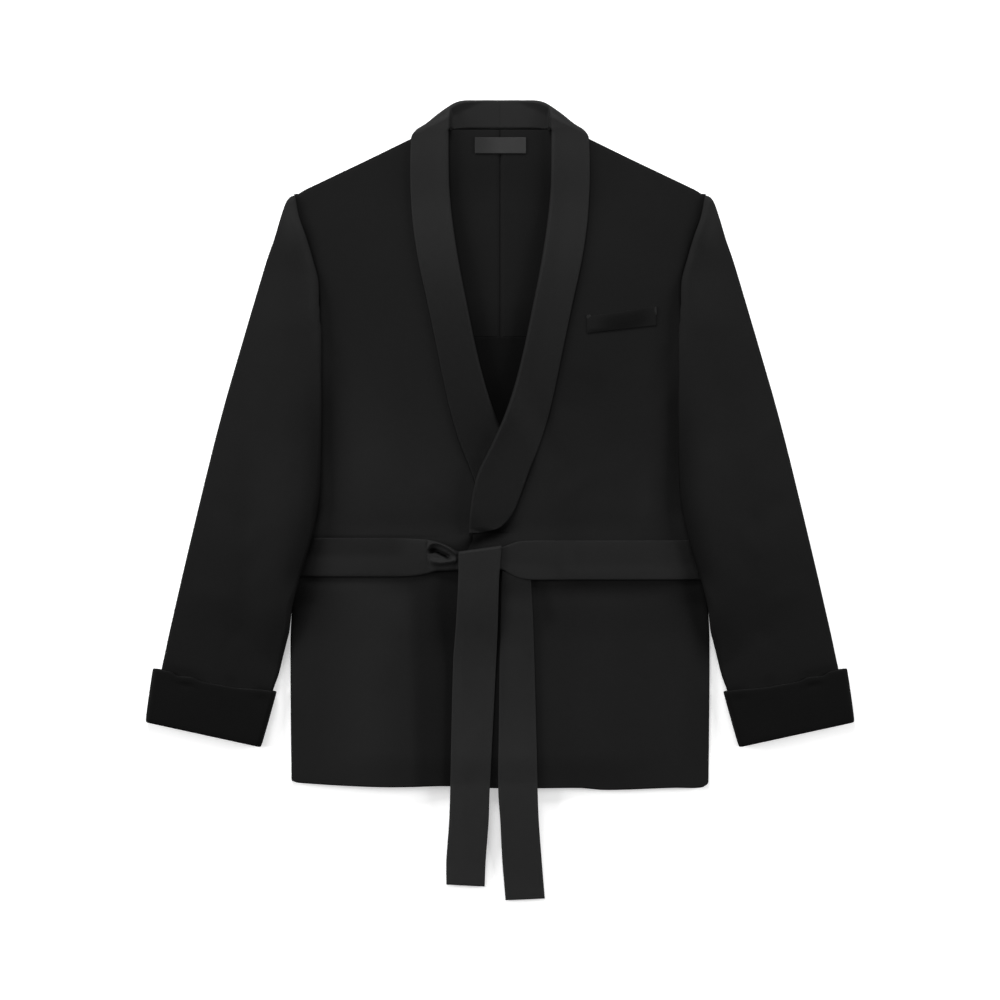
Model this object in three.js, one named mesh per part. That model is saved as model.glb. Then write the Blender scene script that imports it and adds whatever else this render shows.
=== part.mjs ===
import * as THREE from 'three';

// Smoking jacket laid flat on its back and seen from above, head towards +Y, in millimetres.
// The wearer's left front (+X) wraps over the right, and a cloth belt is tied over both.

// Thickness of each cloth wall
const wall = {
  back: 2,
  front: 2.6,
  collar: 2.4,
  sleeve: 2,
  cuff: 2.4,
  lining: 1,
  belt: 3,
  welt: 2,
  label: 0.8,
};
const seam = 0.3; // gap where two pieces are sewn edge to edge
const stitched = 0.4; // gap under a piece that is sewn down on another
const lay = 0.6; // gap under a piece that lies on another
const lapelLay = 1; // gap under a lapel, which rolls rather than lies flat
const inside = 2; // free height between the back and the fronts
const neck = { y: 426, halfWidth: 58.5, pointX: 61.7 };
const shoulder = { tipX: 237, tipY: 352, slope: 0.4775 };
const frontEdgeX = 38; // how far each front passes the middle, below the lapels
const rollSetback = 4.8; // the front ends this far behind the roll of its lapel
const rollFoot = 4; // the roll starts this far above the top of the front's straight edge
const backSetback = 1; // the back's side seam lies this far inside the front's
const hemSetback = 1.5; // and its hem this far above the front's
const armpitY = 98;

// Soft steps in the height of the layers, each from where it starts to where it is complete.
// Names that end in X or Y are places on that axis, and the others are distances from an edge.
const softStep = {
  beltLowerY: [-122, -95],
  beltUpperY: [-8, -35],
  fallY: [338, 402],
  fallX: [160, 106],
  skirtFoldOuterX: [-190, -130],
  skirtFoldInnerX: [-98, -118],
  skirtFoldTopY: [-105, -150],
  nearSide: [56, 4],
  sideClosedY: [130, 92],
  nearShoulder: [66, 5],
  shoulderClosedX: [74, 130],
  ontoLowerFront: [58, 18],
  ontoLapel: [-40, -10],
  offLapel: [56, 16],
  lapelTip: [-31, -6],
  lapelCoveredY: [150, 86],
  offBelt: [-26, 0],
  aboveShoulder: [1, 16],
  collarOnFrontX: [38, 58],
  collarStandY: [405, 425],
  sleeveTiltY: [150, -150],
  intoCuff: [-198, -217],
  sleeveOnBodyX: [290, 246],
  sleeveOnSkirtY: [-172, -128],
  sleeveOnBodyY: [134, 100],
  sleeveFoldY: [216, 200],
  sleeveHeadY: [222, 196],
  sleeveHeadX: [286, 236],
  belowArmpitY: [140, 96],
  intoKnotLeftX: [86, 44],
  intoKnotRightX: [-84, -50],
  tailOnKnotY: [-150, -95],
  tailOffHemY: [-386, -341],
};

// Half width of the body at its side seams, from the hem up
const sideSeam = [
  { y: -335, x: 239 },
  { y: -160, x: 240 },
  { y: -110, x: 237.5 },
  { y: -30, x: 236.5 },
  { y: 40, x: 236 },
  { y: 98, x: 231 },
];

// Armhole seams of the fronts and of the back, from the armpit to the shoulder tip
const frontArmhole = [
  { y: 98, x: 231 },
  { y: 125, x: 221 },
  { y: 160, x: 212.5 },
  { y: 205, x: 208.8 },
  { y: 250, x: 208.6 },
  { y: 277, x: 215.2 },
  { y: 304, x: 223.3 },
  { y: 326, x: 231.3 },
  { y: 352, x: 237 },
];
const backArmhole = [
  { y: 98, x: 226 },
  { y: 130, x: 217 },
  { y: 170, x: 211 },
  { y: 220, x: 210 },
  { y: 270, x: 214 },
  { y: 310, x: 224.5 },
  { y: 352, x: 237 },
];

// Hem line of the body, from one side to the other
const hemLine = [
  { x: -240, y: -321.5 },
  { x: -232, y: -323.7 },
  { x: -140, y: -329.5 },
  { x: -66, y: -328.3 },
  { x: 0, y: -330.6 },
  { x: 90, y: -330.6 },
  { x: 122, y: -332.9 },
  { x: 200, y: -329.5 },
  { x: 232, y: -327.5 },
  { x: 240, y: -322 },
];

// Levels of the body's rows: heights at the middle and at the armhole
const bodyLevels = [
  { middle: -335, side: -335 },
  { middle: -285, side: -285 },
  { middle: -230, side: -230 },
  { middle: -170, side: -170 },
  { middle: -122, side: -122 },
  { middle: -113, side: -113 },
  { middle: -104, side: -104 },
  { middle: -95, side: -95 },
  { middle: -80, side: -80 },
  { middle: -66, side: -66 },
  { middle: -52, side: -52 },
  { middle: -35, side: -35 },
  { middle: -26, side: -26 },
  { middle: -17, side: -17 },
  { middle: -8, side: -8 },
  { middle: 28, side: 28 },
  { middle: 64, side: 64 },
  { middle: 100, side: 98 },
  { middle: 142, side: 130 },
  { middle: 186, side: 164 },
  { middle: 226, side: 194 },
  { middle: 266, side: 226 },
  { middle: 302, side: 252 },
  { middle: 338, side: 279 },
  { middle: 372, side: 305 },
  { middle: 402, side: 327 },
  { middle: 434.5, side: 352 },
];

// Sections of one collar half, from the lapel's tip at the belt round to the centre back.
// inner is the roll line and then the neck seam, outer the lapel's edge and then the top fold,
// fall the edge of the part turned under at the back. nose and turn say how far each end turns under.
const collarSections = [
  { innerX: -38, innerY: -50, outerX: -28, outerY: -44, fallX: 0, fallY: 0, nose: 1, turn: 0 },
  { innerX: -36.6, innerY: -34, outerX: -11, outerY: -35.5, fallX: 0, fallY: 0, nose: 1, turn: 0 },
  { innerX: -35.4, innerY: -19, outerX: 3, outerY: -28.5, fallX: 0, fallY: 0, nose: 1, turn: 0 },
  { innerX: -33.4, innerY: -4, outerX: 14.5, outerY: -12, fallX: 0, fallY: 0, nose: 1, turn: 0 },
  { innerX: -30, innerY: 15, outerX: 25, outerY: 12, fallX: 0, fallY: 0, nose: 1, turn: 0 },
  { innerX: -24, innerY: 35, outerX: 34, outerY: 36, fallX: 0, fallY: 0, nose: 1, turn: 0 },
  { innerX: -10.4, innerY: 62.7, outerX: 46, outerY: 66, fallX: 0, fallY: 0, nose: 1, turn: 0 },
  { innerX: 4, innerY: 95, outerX: 56, outerY: 99, fallX: 0, fallY: 0, nose: 1, turn: 0 },
  { innerX: 16, innerY: 130, outerX: 64.5, outerY: 136, fallX: 0, fallY: 0, nose: 1, turn: 0 },
  { innerX: 26.8, innerY: 172, outerX: 73.5, outerY: 180, fallX: 0, fallY: 0, nose: 1, turn: 0 },
  { innerX: 37.2, innerY: 222, outerX: 83.5, outerY: 228, fallX: 0, fallY: 0, nose: 1, turn: 0 },
  { innerX: 46.6, innerY: 270, outerX: 93.5, outerY: 274, fallX: 0, fallY: 0, nose: 1, turn: 0 },
  { innerX: 53.2, innerY: 312, outerX: 99.8, outerY: 315, fallX: 0, fallY: 0, nose: 1, turn: 0 },
  { innerX: 57.6, innerY: 352, outerX: 102.6, outerY: 354, fallX: 0, fallY: 0, nose: 1, turn: 0 },
  { innerX: 58.7, innerY: 385, outerX: 103, outerY: 387, fallX: 0, fallY: 0, nose: 1, turn: 0 },
  { innerX: 58.8, innerY: 408, outerX: 102.4, outerY: 409, fallX: 0, fallY: 0, nose: 1, turn: 0 },
  { innerX: 58.8, innerY: 419, outerX: 101.2, outerY: 418.2, fallX: 0, fallY: 0, nose: 0.6, turn: 0 },
  { innerX: 57.5, innerY: 426.8, outerX: 95.8, outerY: 425.8, fallX: 86, fallY: 427, nose: 0, turn: 0.45 },
  { innerX: 50, innerY: 426.8, outerX: 85.1, outerY: 433, fallX: 78, fallY: 428, nose: 0, turn: 1 },
  { innerX: 40, innerY: 426.8, outerX: 67, outerY: 447, fallX: 60, fallY: 415, nose: 0, turn: 1 },
  { innerX: 28, innerY: 426.5, outerX: 48, outerY: 457.6, fallX: 38, fallY: 407, nose: 0, turn: 1 },
  { innerX: 14, innerY: 426.3, outerX: 24, outerY: 459.4, fallX: 17, fallY: 405, nose: 0, turn: 1 },
  { innerX: 0.15, innerY: 426.3, outerX: 0.15, outerY: 459.4, fallX: 0.15, fallY: 405, nose: 0, turn: 1 },
];
const lapelRows = collarSections.filter((section) => section.turn === 0);

// Inner and outer edges of a sleeve as it lies, from the cuff up
const sleeveInner = [
  { y: -272, x: 277.6 },
  { y: -219, x: 262.4 },
  { y: -200, x: 255.3 },
  { y: -183, x: 250.7 },
  { y: -151, x: 242.6 },
  { y: -121, x: 238 },
  { y: -91, x: 230 },
  { y: -45, x: 216.2 },
  { y: 0, x: 207 },
  { y: 58, x: 204.9 },
  { y: 196, x: 204.6 },
];
const sleeveOuter = [
  { y: -244, x: 401 },
  { y: -197, x: 393 },
  { y: -186, x: 387.8 },
  { y: -149, x: 378.9 },
  { y: -57, x: 357.1 },
  { y: 58, x: 329.5 },
  { y: 116, x: 314.5 },
  { y: 173, x: 298.4 },
  { y: 231, x: 281.2 },
  { y: 277, x: 267.4 },
  { y: 300, x: 259.3 },
  { y: 323, x: 252.4 },
  { y: 339, x: 246.7 },
  { y: 346, x: 242.9 },
];

// Rows of a sleeve: heights of its inner and outer edge, how far each edge is folded under, as a share
// of the whole fold, and the width of the outer fold
const sleeveRows = [
  { inner: 346, outer: 345.5, foldIn: 0, foldOut: 0.25, wide: 4 },
  { inner: 327, outer: 326, foldIn: 0, foldOut: 1, wide: 12 },
  { inner: 305, outer: 303, foldIn: 0, foldOut: 1, wide: 28 },
  { inner: 279, outer: 278, foldIn: 0, foldOut: 1, wide: 22 },
  { inner: 252, outer: 252, foldIn: 0, foldOut: 1, wide: 22 },
  { inner: 226, outer: 226, foldIn: 0, foldOut: 1, wide: 22 },
  { inner: 209, outer: 209, foldIn: 0.1, foldOut: 1, wide: 22 },
  { inner: 194, outer: 194, foldIn: 0.3, foldOut: 1, wide: 22 },
  { inner: 164, outer: 165, foldIn: 0.41, foldOut: 1, wide: 22 },
  { inner: 130, outer: 132, foldIn: 0.67, foldOut: 1, wide: 22 },
  { inner: 108, outer: 110, foldIn: 0.92, foldOut: 1, wide: 22 },
  { inner: 96, outer: 99, foldIn: 1, foldOut: 1, wide: 22 },
  { inner: 58, outer: 63, foldIn: 1, foldOut: 1, wide: 22 },
  { inner: 20, outer: 27, foldIn: 1, foldOut: 1, wide: 22 },
  { inner: -6, outer: 3, foldIn: 1, foldOut: 1, wide: 22 },
  { inner: -22, outer: -11, foldIn: 1, foldOut: 1, wide: 22 },
  { inner: -38, outer: -25, foldIn: 1, foldOut: 1, wide: 22 },
  { inner: -62, outer: -47, foldIn: 1, foldOut: 1, wide: 22 },
  { inner: -86, outer: -69, foldIn: 1, foldOut: 1, wide: 22 },
  { inner: -104, outer: -85, foldIn: 1, foldOut: 1, wide: 22 },
  { inner: -124, outer: -104, foldIn: 1, foldOut: 1, wide: 22 },
  { inner: -160, outer: -139, foldIn: 1, foldOut: 1, wide: 22 },
  { inner: -197, outer: -175, foldIn: 1, foldOut: 1, wide: 22 },
  { inner: -219, outer: -196, foldIn: 1, foldOut: 1, wide: 22 },
  { inner: -271, outer: -243.5, foldIn: 1, foldOut: 1, wide: 22 },
];

// Value of one column of a table at a point along its key column, on a smooth curve through its rows
function readTable(table, key, column, value) {
  const rows = table[0][key] < table[1][key] ? table : [...table].reverse();
  const last = rows.length - 1;
  if (value <= rows[0][key]) return rows[0][column];
  if (value >= rows[last][key]) return rows[last][column];
  const upper = rows.findIndex((row) => row[key] >= value);
  const slopeAt = (index) => {
    const before = rows[Math.max(index - 1, 0)];
    const after = rows[Math.min(index + 1, last)];
    return (after[column] - before[column]) / (after[key] - before[key]);
  };
  const low = rows[upper - 1];
  const high = rows[upper];
  const span = high[key] - low[key];
  const t = (value - low[key]) / span;
  const lowWeight = (1 + 2 * t) * (1 - t) ** 2;
  const highWeight = t * t * (3 - 2 * t);
  return low[column] * lowWeight + high[column] * highWeight
    + span * t * (1 - t) * ((1 - t) * slopeAt(upper - 1) - t * slopeAt(upper));
}

// Soft step from 0 at start to 1 at end, whichever of the two is larger
function ramp(value, start, end) {
  const t = THREE.MathUtils.clamp((value - start) / (end - start), 0, 1);
  return t * t * (3 - 2 * t);
}

const mix = THREE.MathUtils.lerp;

// Roll line of a lapel on straight lines between the collar's sections
function rollX(y) {
  if (y <= lapelRows[0].innerY) return lapelRows[0].innerX;
  const upper = lapelRows.findIndex((row) => row.innerY >= y);
  if (upper < 0) return neck.halfWidth;
  const low = lapelRows[upper - 1];
  const high = lapelRows[upper];
  return mix(low.innerX, high.innerX, (y - low.innerY) / (high.innerY - low.innerY));
}

function shoulderLine(x) {
  return shoulder.tipY + (shoulder.tipX - Math.abs(x)) * shoulder.slope;
}

const hemY = (x) => readTable(hemLine, 'x', 'y', x);
const sideX = (y) => readTable(sideSeam, 'y', 'x', y);

// The band of the body that lies over the belt's stretch behind it
function waistBand(y) {
  return ramp(y, ...softStep.beltLowerY) * ramp(y, ...softStep.beltUpperY);
}

// Underside of the back: on the surface, but for the belt and the collar's fall beneath it
function backFloor(x, y) {
  const overFall = ramp(y, ...softStep.fallY) * ramp(Math.abs(x), ...softStep.fallX);
  return (wall.belt + seam) * waistBand(y) + (wall.collar + lay) * overFall;
}

// A soft upright fold in the skirt of the lower front
const skirtFoldRise = 1.8;

function skirtFold(x, y) {
  const across = ramp(x, ...softStep.skirtFoldOuterX) * ramp(x, ...softStep.skirtFoldInnerX);
  return skirtFoldRise * across * ramp(y, ...softStep.skirtFoldTopY);
}

// Underside of a front that lies on the back, closing on it at the side seam and the shoulder seam
function frontFloor(x, y) {
  const toSide = ramp(sideX(y) - Math.abs(x), ...softStep.nearSide) * ramp(y, ...softStep.sideClosedY);
  const toShoulder = ramp(shoulderLine(x) - y, ...softStep.nearShoulder)
    * ramp(Math.abs(x), ...softStep.shoulderClosedX);
  const open = 1 - Math.max(toSide, toShoulder);
  return backFloor(x, y) + wall.back + mix(lay, inside, open) + skirtFold(x, y);
}

// Outer edge of the lower lapel where the upper front hides it, measured towards its own side
function lapelOuterX(y) {
  return readTable(lapelRows, 'outerY', 'outerX', y);
}

// Tip of the lower lapel, and the line across its end: its height at the middle, its fall per
// millimetre and where it starts to fall
const lapelTip = { y: -44, x: 24 };
const lapelEnd = { y: -30, slope: 0.45, startX: -5 };

// Underside of the upper front, which also passes over the lower front and its lapel
function upperFloor(x, y) {
  const pastEdge = x + rollX(y);
  const overFront = ramp(pastEdge, ...softStep.ontoLowerFront);
  const lapelStart = y > lapelTip.y ? -lapelOuterX(y) : lapelTip.x;
  const pastLapel = ramp(x - lapelStart, ...softStep.ontoLapel) * ramp(pastEdge, ...softStep.offLapel);
  const lapelEndY = lapelEnd.y - lapelEnd.slope * Math.max(x, lapelEnd.startX);
  const besideTip = ramp(y - lapelEndY, ...softStep.lapelTip);
  const overLapel = pastLapel * besideTip * ramp(y, ...softStep.lapelCoveredY);
  return frontFloor(x, y) + (wall.front + lay) * overFront + (wall.collar + lapelLay) * overLapel;
}

const lowerTop = (x, y) => frontFloor(x, y) + wall.front;
const upperTop = (x, y) => upperFloor(x, y) + wall.front;

// Level on which the belt and its tails lie: the upper front, with a soft step down past its edge
const coverEdgeX = -frontEdgeX - wall.belt;

function coverLevel(x, y) {
  if (x >= coverEdgeX) return upperTop(x, y) + lay;
  const onEdge = ramp(x - coverEdgeX, ...softStep.offBelt);
  return mix(lowerTop(x, y), upperTop(coverEdgeX, y), onEdge) + lay;
}

// Closed wall between an outer and an inner grid of points, as one mesh that faces out
function wallMesh(name, outer, inner, material) {
  const rows = outer.length;
  const columns = outer[0].length;
  const positions = [];
  for (const grid of [outer, inner]) {
    for (const row of grid) {
      for (const point of row) positions.push(point.x, point.y, point.z);
    }
  }
  const outerAt = (row, column) => row * columns + column;
  const innerAt = (row, column) => rows * columns + row * columns + column;
  const faces = [];
  const quad = (a, b, c, d) => faces.push(a, b, c, a, c, d);
  for (let row = 0; row < rows - 1; row += 1) {
    for (let column = 0; column < columns - 1; column += 1) {
      const [right, up] = [column + 1, row + 1];
      quad(outerAt(row, column), outerAt(row, right), outerAt(up, right), outerAt(up, column));
      quad(innerAt(row, column), innerAt(up, column), innerAt(up, right), innerAt(row, right));
    }
  }
  for (let column = 0; column < columns - 1; column += 1) {
    const end = rows - 1;
    quad(outerAt(0, column), innerAt(0, column), innerAt(0, column + 1), outerAt(0, column + 1));
    quad(outerAt(end, column), outerAt(end, column + 1), innerAt(end, column + 1), innerAt(end, column));
  }
  for (let row = 0; row < rows - 1; row += 1) {
    const end = columns - 1;
    quad(outerAt(row, 0), outerAt(row + 1, 0), innerAt(row + 1, 0), innerAt(row, 0));
    quad(outerAt(row, end), innerAt(row, end), innerAt(row + 1, end), outerAt(row + 1, end));
  }
  return closedMesh(name, positions, faces, material);
}

// Mesh from points and faces, turned the right way out by the sign of its volume
function closedMesh(name, positions, faces, material) {
  const corner = (index) => new THREE.Vector3().fromArray(positions, index * 3);
  let volume = 0;
  for (let i = 0; i < faces.length; i += 3) {
    const [a, b, c] = [corner(faces[i]), corner(faces[i + 1]), corner(faces[i + 2])];
    volume += a.dot(b.cross(c));
  }
  if (volume < 0) {
    for (let i = 0; i < faces.length; i += 3) {
      [faces[i], faces[i + 1]] = [faces[i + 1], faces[i]];
    }
  }
  const geometry = new THREE.BufferGeometry();
  geometry.setAttribute('position', new THREE.Float32BufferAttribute(positions, 3));
  geometry.setIndex(faces);
  geometry.computeVertexNormals();
  const mesh = new THREE.Mesh(geometry, material);
  mesh.name = name;
  return mesh;
}

// Flat sheet on a level: plan gives each point's x and y, floor the height of its underside
function laidSheet(name, rows, columns, plan, floor, thickness, material) {
  const outer = [];
  const inner = [];
  for (const v of rows) {
    const points = columns.map((u) => plan(u, v));
    inner.push(points.map(([x, y]) => new THREE.Vector3(x, y, floor(x, y))));
    outer.push(points.map(([x, y]) => new THREE.Vector3(x, y, floor(x, y) + thickness)));
  }
  return wallMesh(name, outer, inner, material);
}

// Sheet whose wall is offset square to its curved outer points
function curvedSheet(name, outer, thickness, material) {
  const along = new THREE.Vector3();
  const across = new THREE.Vector3();
  const inner = outer.map((row, r) => row.map((point, c) => {
    const before = outer[Math.max(r - 1, 0)][c];
    const after = outer[Math.min(r + 1, outer.length - 1)][c];
    along.subVectors(after, before);
    across.subVectors(row[Math.min(c + 1, row.length - 1)], row[Math.max(c - 1, 0)]);
    const normal = new THREE.Vector3().crossVectors(across, along).normalize();
    return point.clone().addScaledVector(normal, -thickness);
  }));
  return wallMesh(name, outer, inner, material);
}

// Steps along a turned end: four round the half circle, then the rest of the run
function turnSteps(radius, run, runSteps) {
  const arcLength = Math.PI * radius;
  const arcShare = arcLength / (arcLength + run);
  const steps = [0.25, 0.5, 0.75, 1].map((share) => share * arcShare);
  for (let step = 1; step <= runSteps; step += 1) steps.push(mix(arcShare, 1, step / runSteps));
  return steps;
}

// One turned end of a row: the half circle under the edge and the run below it, as far as turn says
function turnedEnd(edge, inward, end, top) {
  const height = (point) => (top(point.x, point.y) - end.floor(point.x, point.y)) / 2;
  const radius = height(edge.clone().addScaledVector(inward, height(edge)));
  const target = end.target ? end.target.clone() : null;
  const fullInset = edge.clone().addScaledVector(inward, radius);
  const run = target ? target.distanceTo(fullInset) : end.run;
  const length = end.turn * (Math.PI * radius + run);
  const inset = radius * Math.sin(Math.min(length / radius, Math.PI / 2));
  const centre = edge.clone().addScaledVector(inward, inset);
  const runWay = target ? target.clone().sub(fullInset).normalize() : inward;
  const topZ = top(centre.x, centre.y);
  const at = (distance) => {
    const angle = Math.min(distance / radius, Math.PI);
    const past = Math.max(distance - Math.PI * radius, 0);
    const place = centre.clone().addScaledVector(inward, -radius * Math.sin(angle));
    place.addScaledVector(runWay, past);
    const underZ = end.floor(place.x, place.y);
    const z = past > 0 ? underZ : topZ - radius * (1 - Math.cos(angle));
    return new THREE.Vector3(place.x, place.y, z);
  };
  return { length, centre, at, steps: turnSteps(radius, run, end.runSteps) };
}

// Row of points across a piece: a turned start, the flat top and a turned end.
// An end with no turn keeps its points on the flat top, within edgeSpare of the edge.
const edgeSpare = 12;

function foldedRow(start, end, top, startEnd, endEnd, middle) {
  const way = new THREE.Vector2().subVectors(end, start).normalize();
  const first = turnedEnd(start, way, startEnd, top);
  const second = turnedEnd(end, way.clone().negate(), endEnd, top);
  const flat = first.centre.distanceTo(second.centre);
  const spare = Math.min(edgeSpare, flat / 3);
  const startSpare = spare * (1 - startEnd.turn);
  const endSpare = spare * (1 - endEnd.turn);
  const onTop = (distance) => {
    const place = first.centre.clone().addScaledVector(way, distance);
    return new THREE.Vector3(place.x, place.y, top(place.x, place.y));
  };
  const points = [];
  for (const step of [...first.steps].reverse()) {
    const distance = step * (first.length + startSpare) - startSpare;
    points.push(distance > 0 ? first.at(distance) : onTop(-distance));
  }
  for (const share of middle) points.push(onTop(mix(startSpare, flat - endSpare, share)));
  for (const step of second.steps) {
    const distance = step * (second.length + endSpare) - endSpare;
    points.push(distance > 0 ? second.at(distance) : onTop(flat + distance));
  }
  return points;
}

const cutEnd = { turn: 0, run: 8, runSteps: 0, floor: () => 0 };

const evenSteps = (count) => Array.from({ length: count + 1 }, (_, index) => index / count);

// A colour and finish for each cloth
const cloth = {
  body: new THREE.MeshStandardMaterial({ color: 0x1f1f21, roughness: 0.9, metalness: 0 }),
  facing: new THREE.MeshStandardMaterial({ color: 0x252528, roughness: 0.6, metalness: 0 }),
  velvet: new THREE.MeshStandardMaterial({ color: 0x141416, roughness: 0.95, metalness: 0 }),
  upperLining: new THREE.MeshStandardMaterial({ color: 0x1d1d1f, roughness: 0.85, metalness: 0 }),
  lowerLining: new THREE.MeshStandardMaterial({ color: 0x0f0f11, roughness: 0.7, metalness: 0 }),
  label: new THREE.MeshStandardMaterial({ color: 0x323235, roughness: 0.7, metalness: 0 }),
};

// Height of a body row at a distance from the middle: level as far as the neck, then sloping out
function levelAt(level, x, edgeX, limitY) {
  const share = THREE.MathUtils.clamp((Math.abs(x) - neck.pointX) / (edgeX - neck.pointX), 0, 1);
  return Math.min(mix(level.middle, level.side, share), limitY);
}

// Back half: middle seam to side seam and armhole, hem to neckline and shoulder
function backHalf(side) {
  const edgeAt = (y) => (y < armpitY ? sideX(y) - backSetback : readTable(backArmhole, 'y', 'x', y));
  const plan = (u, level) => {
    const x = mix(seam / 2, edgeAt(level.side), u);
    const neckline = neck.y + Math.max(x - neck.halfWidth, 0);
    const y = levelAt(level, x, edgeAt(level.side), Math.min(neckline, shoulderLine(x)));
    return [side * x, Math.max(y, hemY(side * x) + hemSetback)];
  };
  const columns = [0, 0.12, neck.halfWidth / shoulder.tipX, 0.285, 0.4, 0.55, 0.7, 0.84, 0.92, 1];
  const name = side > 0 ? 'back_left' : 'back_right';
  return laidSheet(name, bodyLevels, columns, plan, backFloor, wall.back, cloth.body);
}

// Columns of a front, closer together where one front lies on the other
const frontColumns = [0, 0.055, 0.11, 0.17, 0.235, 0.3, 0.37, 0.44, 0.52, 0.62, 0.73, 0.84, 0.93, 1];

function frontInnerX(y) {
  return y < lapelRows[0].innerY - rollFoot ? -frontEdgeX : rollX(y) + rollSetback;
}

// Front: edge or roll line to side seam and armhole, hem to shoulder
function front(side) {
  const edgeAt = (y) => (y < armpitY ? sideX(y) : readTable(frontArmhole, 'y', 'x', y));
  const plan = (u, level) => {
    const innerX = frontInnerX(level.middle);
    const outerX = edgeAt(level.side);
    const x = mix(innerX, outerX, u);
    const y = Math.max(mix(level.middle, level.side, u), hemY(side * x));
    return [side * x, y];
  };
  const name = side > 0 ? 'front_left' : 'front_right';
  const floor = side > 0 ? upperFloor : frontFloor;
  return laidSheet(name, bodyLevels, frontColumns, plan, floor, wall.front, cloth.body);
}

// Collar half with its lapel: a nose round the front's edge, the lapel, and the fall turned under behind
const noseRun = 0.6;
const fallRun = 12;

function collarHalf(side) {
  const frontTop = side > 0 ? upperTop : lowerTop;
  const noseFloor = side > 0 ? upperFloor : frontFloor;
  const standLevel = wall.collar + lay;
  const top = (x, y) => {
    const worldX = side * x;
    const pastShoulder = ramp(y - shoulderLine(x), ...softStep.aboveShoulder);
    const onFront = ramp(x, ...softStep.collarOnFrontX) * (1 - pastShoulder);
    const behind = ramp(y, ...softStep.collarStandY) * (1 - onFront);
    return mix(frontTop(worldX, y) + lapelLay, standLevel, behind) + wall.collar;
  };
  const outer = collarSections.map((section) => {
    const inner = new THREE.Vector2(section.innerX, section.innerY);
    const edge = new THREE.Vector2(section.outerX, section.outerY);
    const target = section.turn > 0 ? new THREE.Vector2(section.fallX, section.fallY) : null;
    const nose = { turn: section.nose, run: noseRun, runSteps: 1, floor: (x, y) => noseFloor(side * x, y) };
    const fall = { turn: section.turn, run: fallRun, runSteps: 2, floor: () => 0, target };
    return foldedRow(inner, edge, top, nose, fall, evenSteps(4)).map((point) => point.setX(side * point.x));
  });
  const name = side > 0 ? 'collar_left' : 'collar_right';
  if (side < 0) outer.forEach((row) => row.reverse());
  return curvedSheet(name, outer, wall.collar, cloth.facing);
}

const sleeveHeight = 6.6; // two walls and the free height between them
const sleeveFold = 25; // how far the upper sleeve is folded under at the inner edge
const sleeveRest = 7.4; // height of its underside where it lies on the body
const sleeveOverBelt = 7.2; // and how much higher it lies over the belt
const sleeveHead = 5.4; // how much its top rises beside the armhole seam
const sleeveTilt = { slope: 0.17, middleX: 250 }; // slope of its rows across, below the elbow

// Inner edge of a sleeve: the armhole seam, and below it the fold that lies on the front
function sleeveInnerX(y) {
  return y > 206 ? readTable(frontArmhole, 'y', 'x', y) + seam : readTable(sleeveInner, 'y', 'x', y);
}

// How far along the sleeve a point lies, as the height of the row's inner edge
function alongSleeve(x, y) {
  const slope = sleeveTilt.slope * ramp(y, ...softStep.sleeveTiltY);
  return y - slope * (x - sleeveTilt.middleX);
}

// Rise of a sleeve's end inside its cuff
function cuffRise(x, y) {
  return (wall.cuff + stitched) * ramp(alongSleeve(x, y), ...softStep.intoCuff);
}

// Underside of a sleeve: over the body's side and the belt, and on the surface beyond them
function sleeveFloor(x, y) {
  const onBody = ramp(x, ...softStep.sleeveOnBodyX) * ramp(y, ...softStep.sleeveOnSkirtY);
  const rest = (sleeveRest + sleeveOverBelt * waistBand(y)) * onBody;
  return rest * ramp(y, ...softStep.sleeveOnBodyY) + cuffRise(x, y);
}

// Underside of the upper sleeve's inner fold, which lies on the front from the armhole down
function foldFloor(x, y) {
  const onFront = ramp(y, ...softStep.sleeveFoldY) * ramp(y, ...softStep.sleeveOnSkirtY);
  return Math.max(sleeveFloor(x, y), sleeveRest * onFront);
}

// Top of a sleeve: level with the front at the armhole seam, higher where it lies on the body
function sleeveTop(x, y) {
  const foldRise = sleeveHead * ramp(y, ...softStep.sleeveHeadY) * ramp(x, ...softStep.sleeveHeadX);
  const belowArmpit = ramp(y, ...softStep.belowArmpitY);
  const full = sleeveFloor(x, y) + sleeveHeight;
  const head = sleeveHeight + foldRise;
  return mix(head, Math.max(full, sleeveHeight), belowArmpit);
}

function upperSleeve(side) {
  const outer = sleeveRows.map((row) => {
    const inner = new THREE.Vector2(sleeveInnerX(row.inner), row.inner);
    const edge = new THREE.Vector2(readTable(sleeveOuter, 'y', 'x', row.outer), row.outer);
    const innerRun = sleeveFold - sleeveHeight / 2;
    const outerRun = Math.max(row.wide - sleeveHeight / 2, 1);
    const innerEnd = { turn: row.foldIn, run: innerRun, runSteps: 1, floor: foldFloor };
    const outerEnd = { turn: row.foldOut, run: outerRun, runSteps: 1, floor: sleeveFloor };
    const points = foldedRow(inner, edge, sleeveTop, innerEnd, outerEnd, evenSteps(5));
    return points.map((point) => point.setX(side * point.x));
  });
  if (side > 0) outer.forEach((row) => row.reverse());
  const name = side > 0 ? 'upper_sleeve_left' : 'upper_sleeve_right';
  return curvedSheet(name, outer, wall.sleeve, cloth.body);
}

// Under sleeve: from the armhole or the upper sleeve's inner fold to its outer fold
const leastUnderSleeve = 5;

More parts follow.
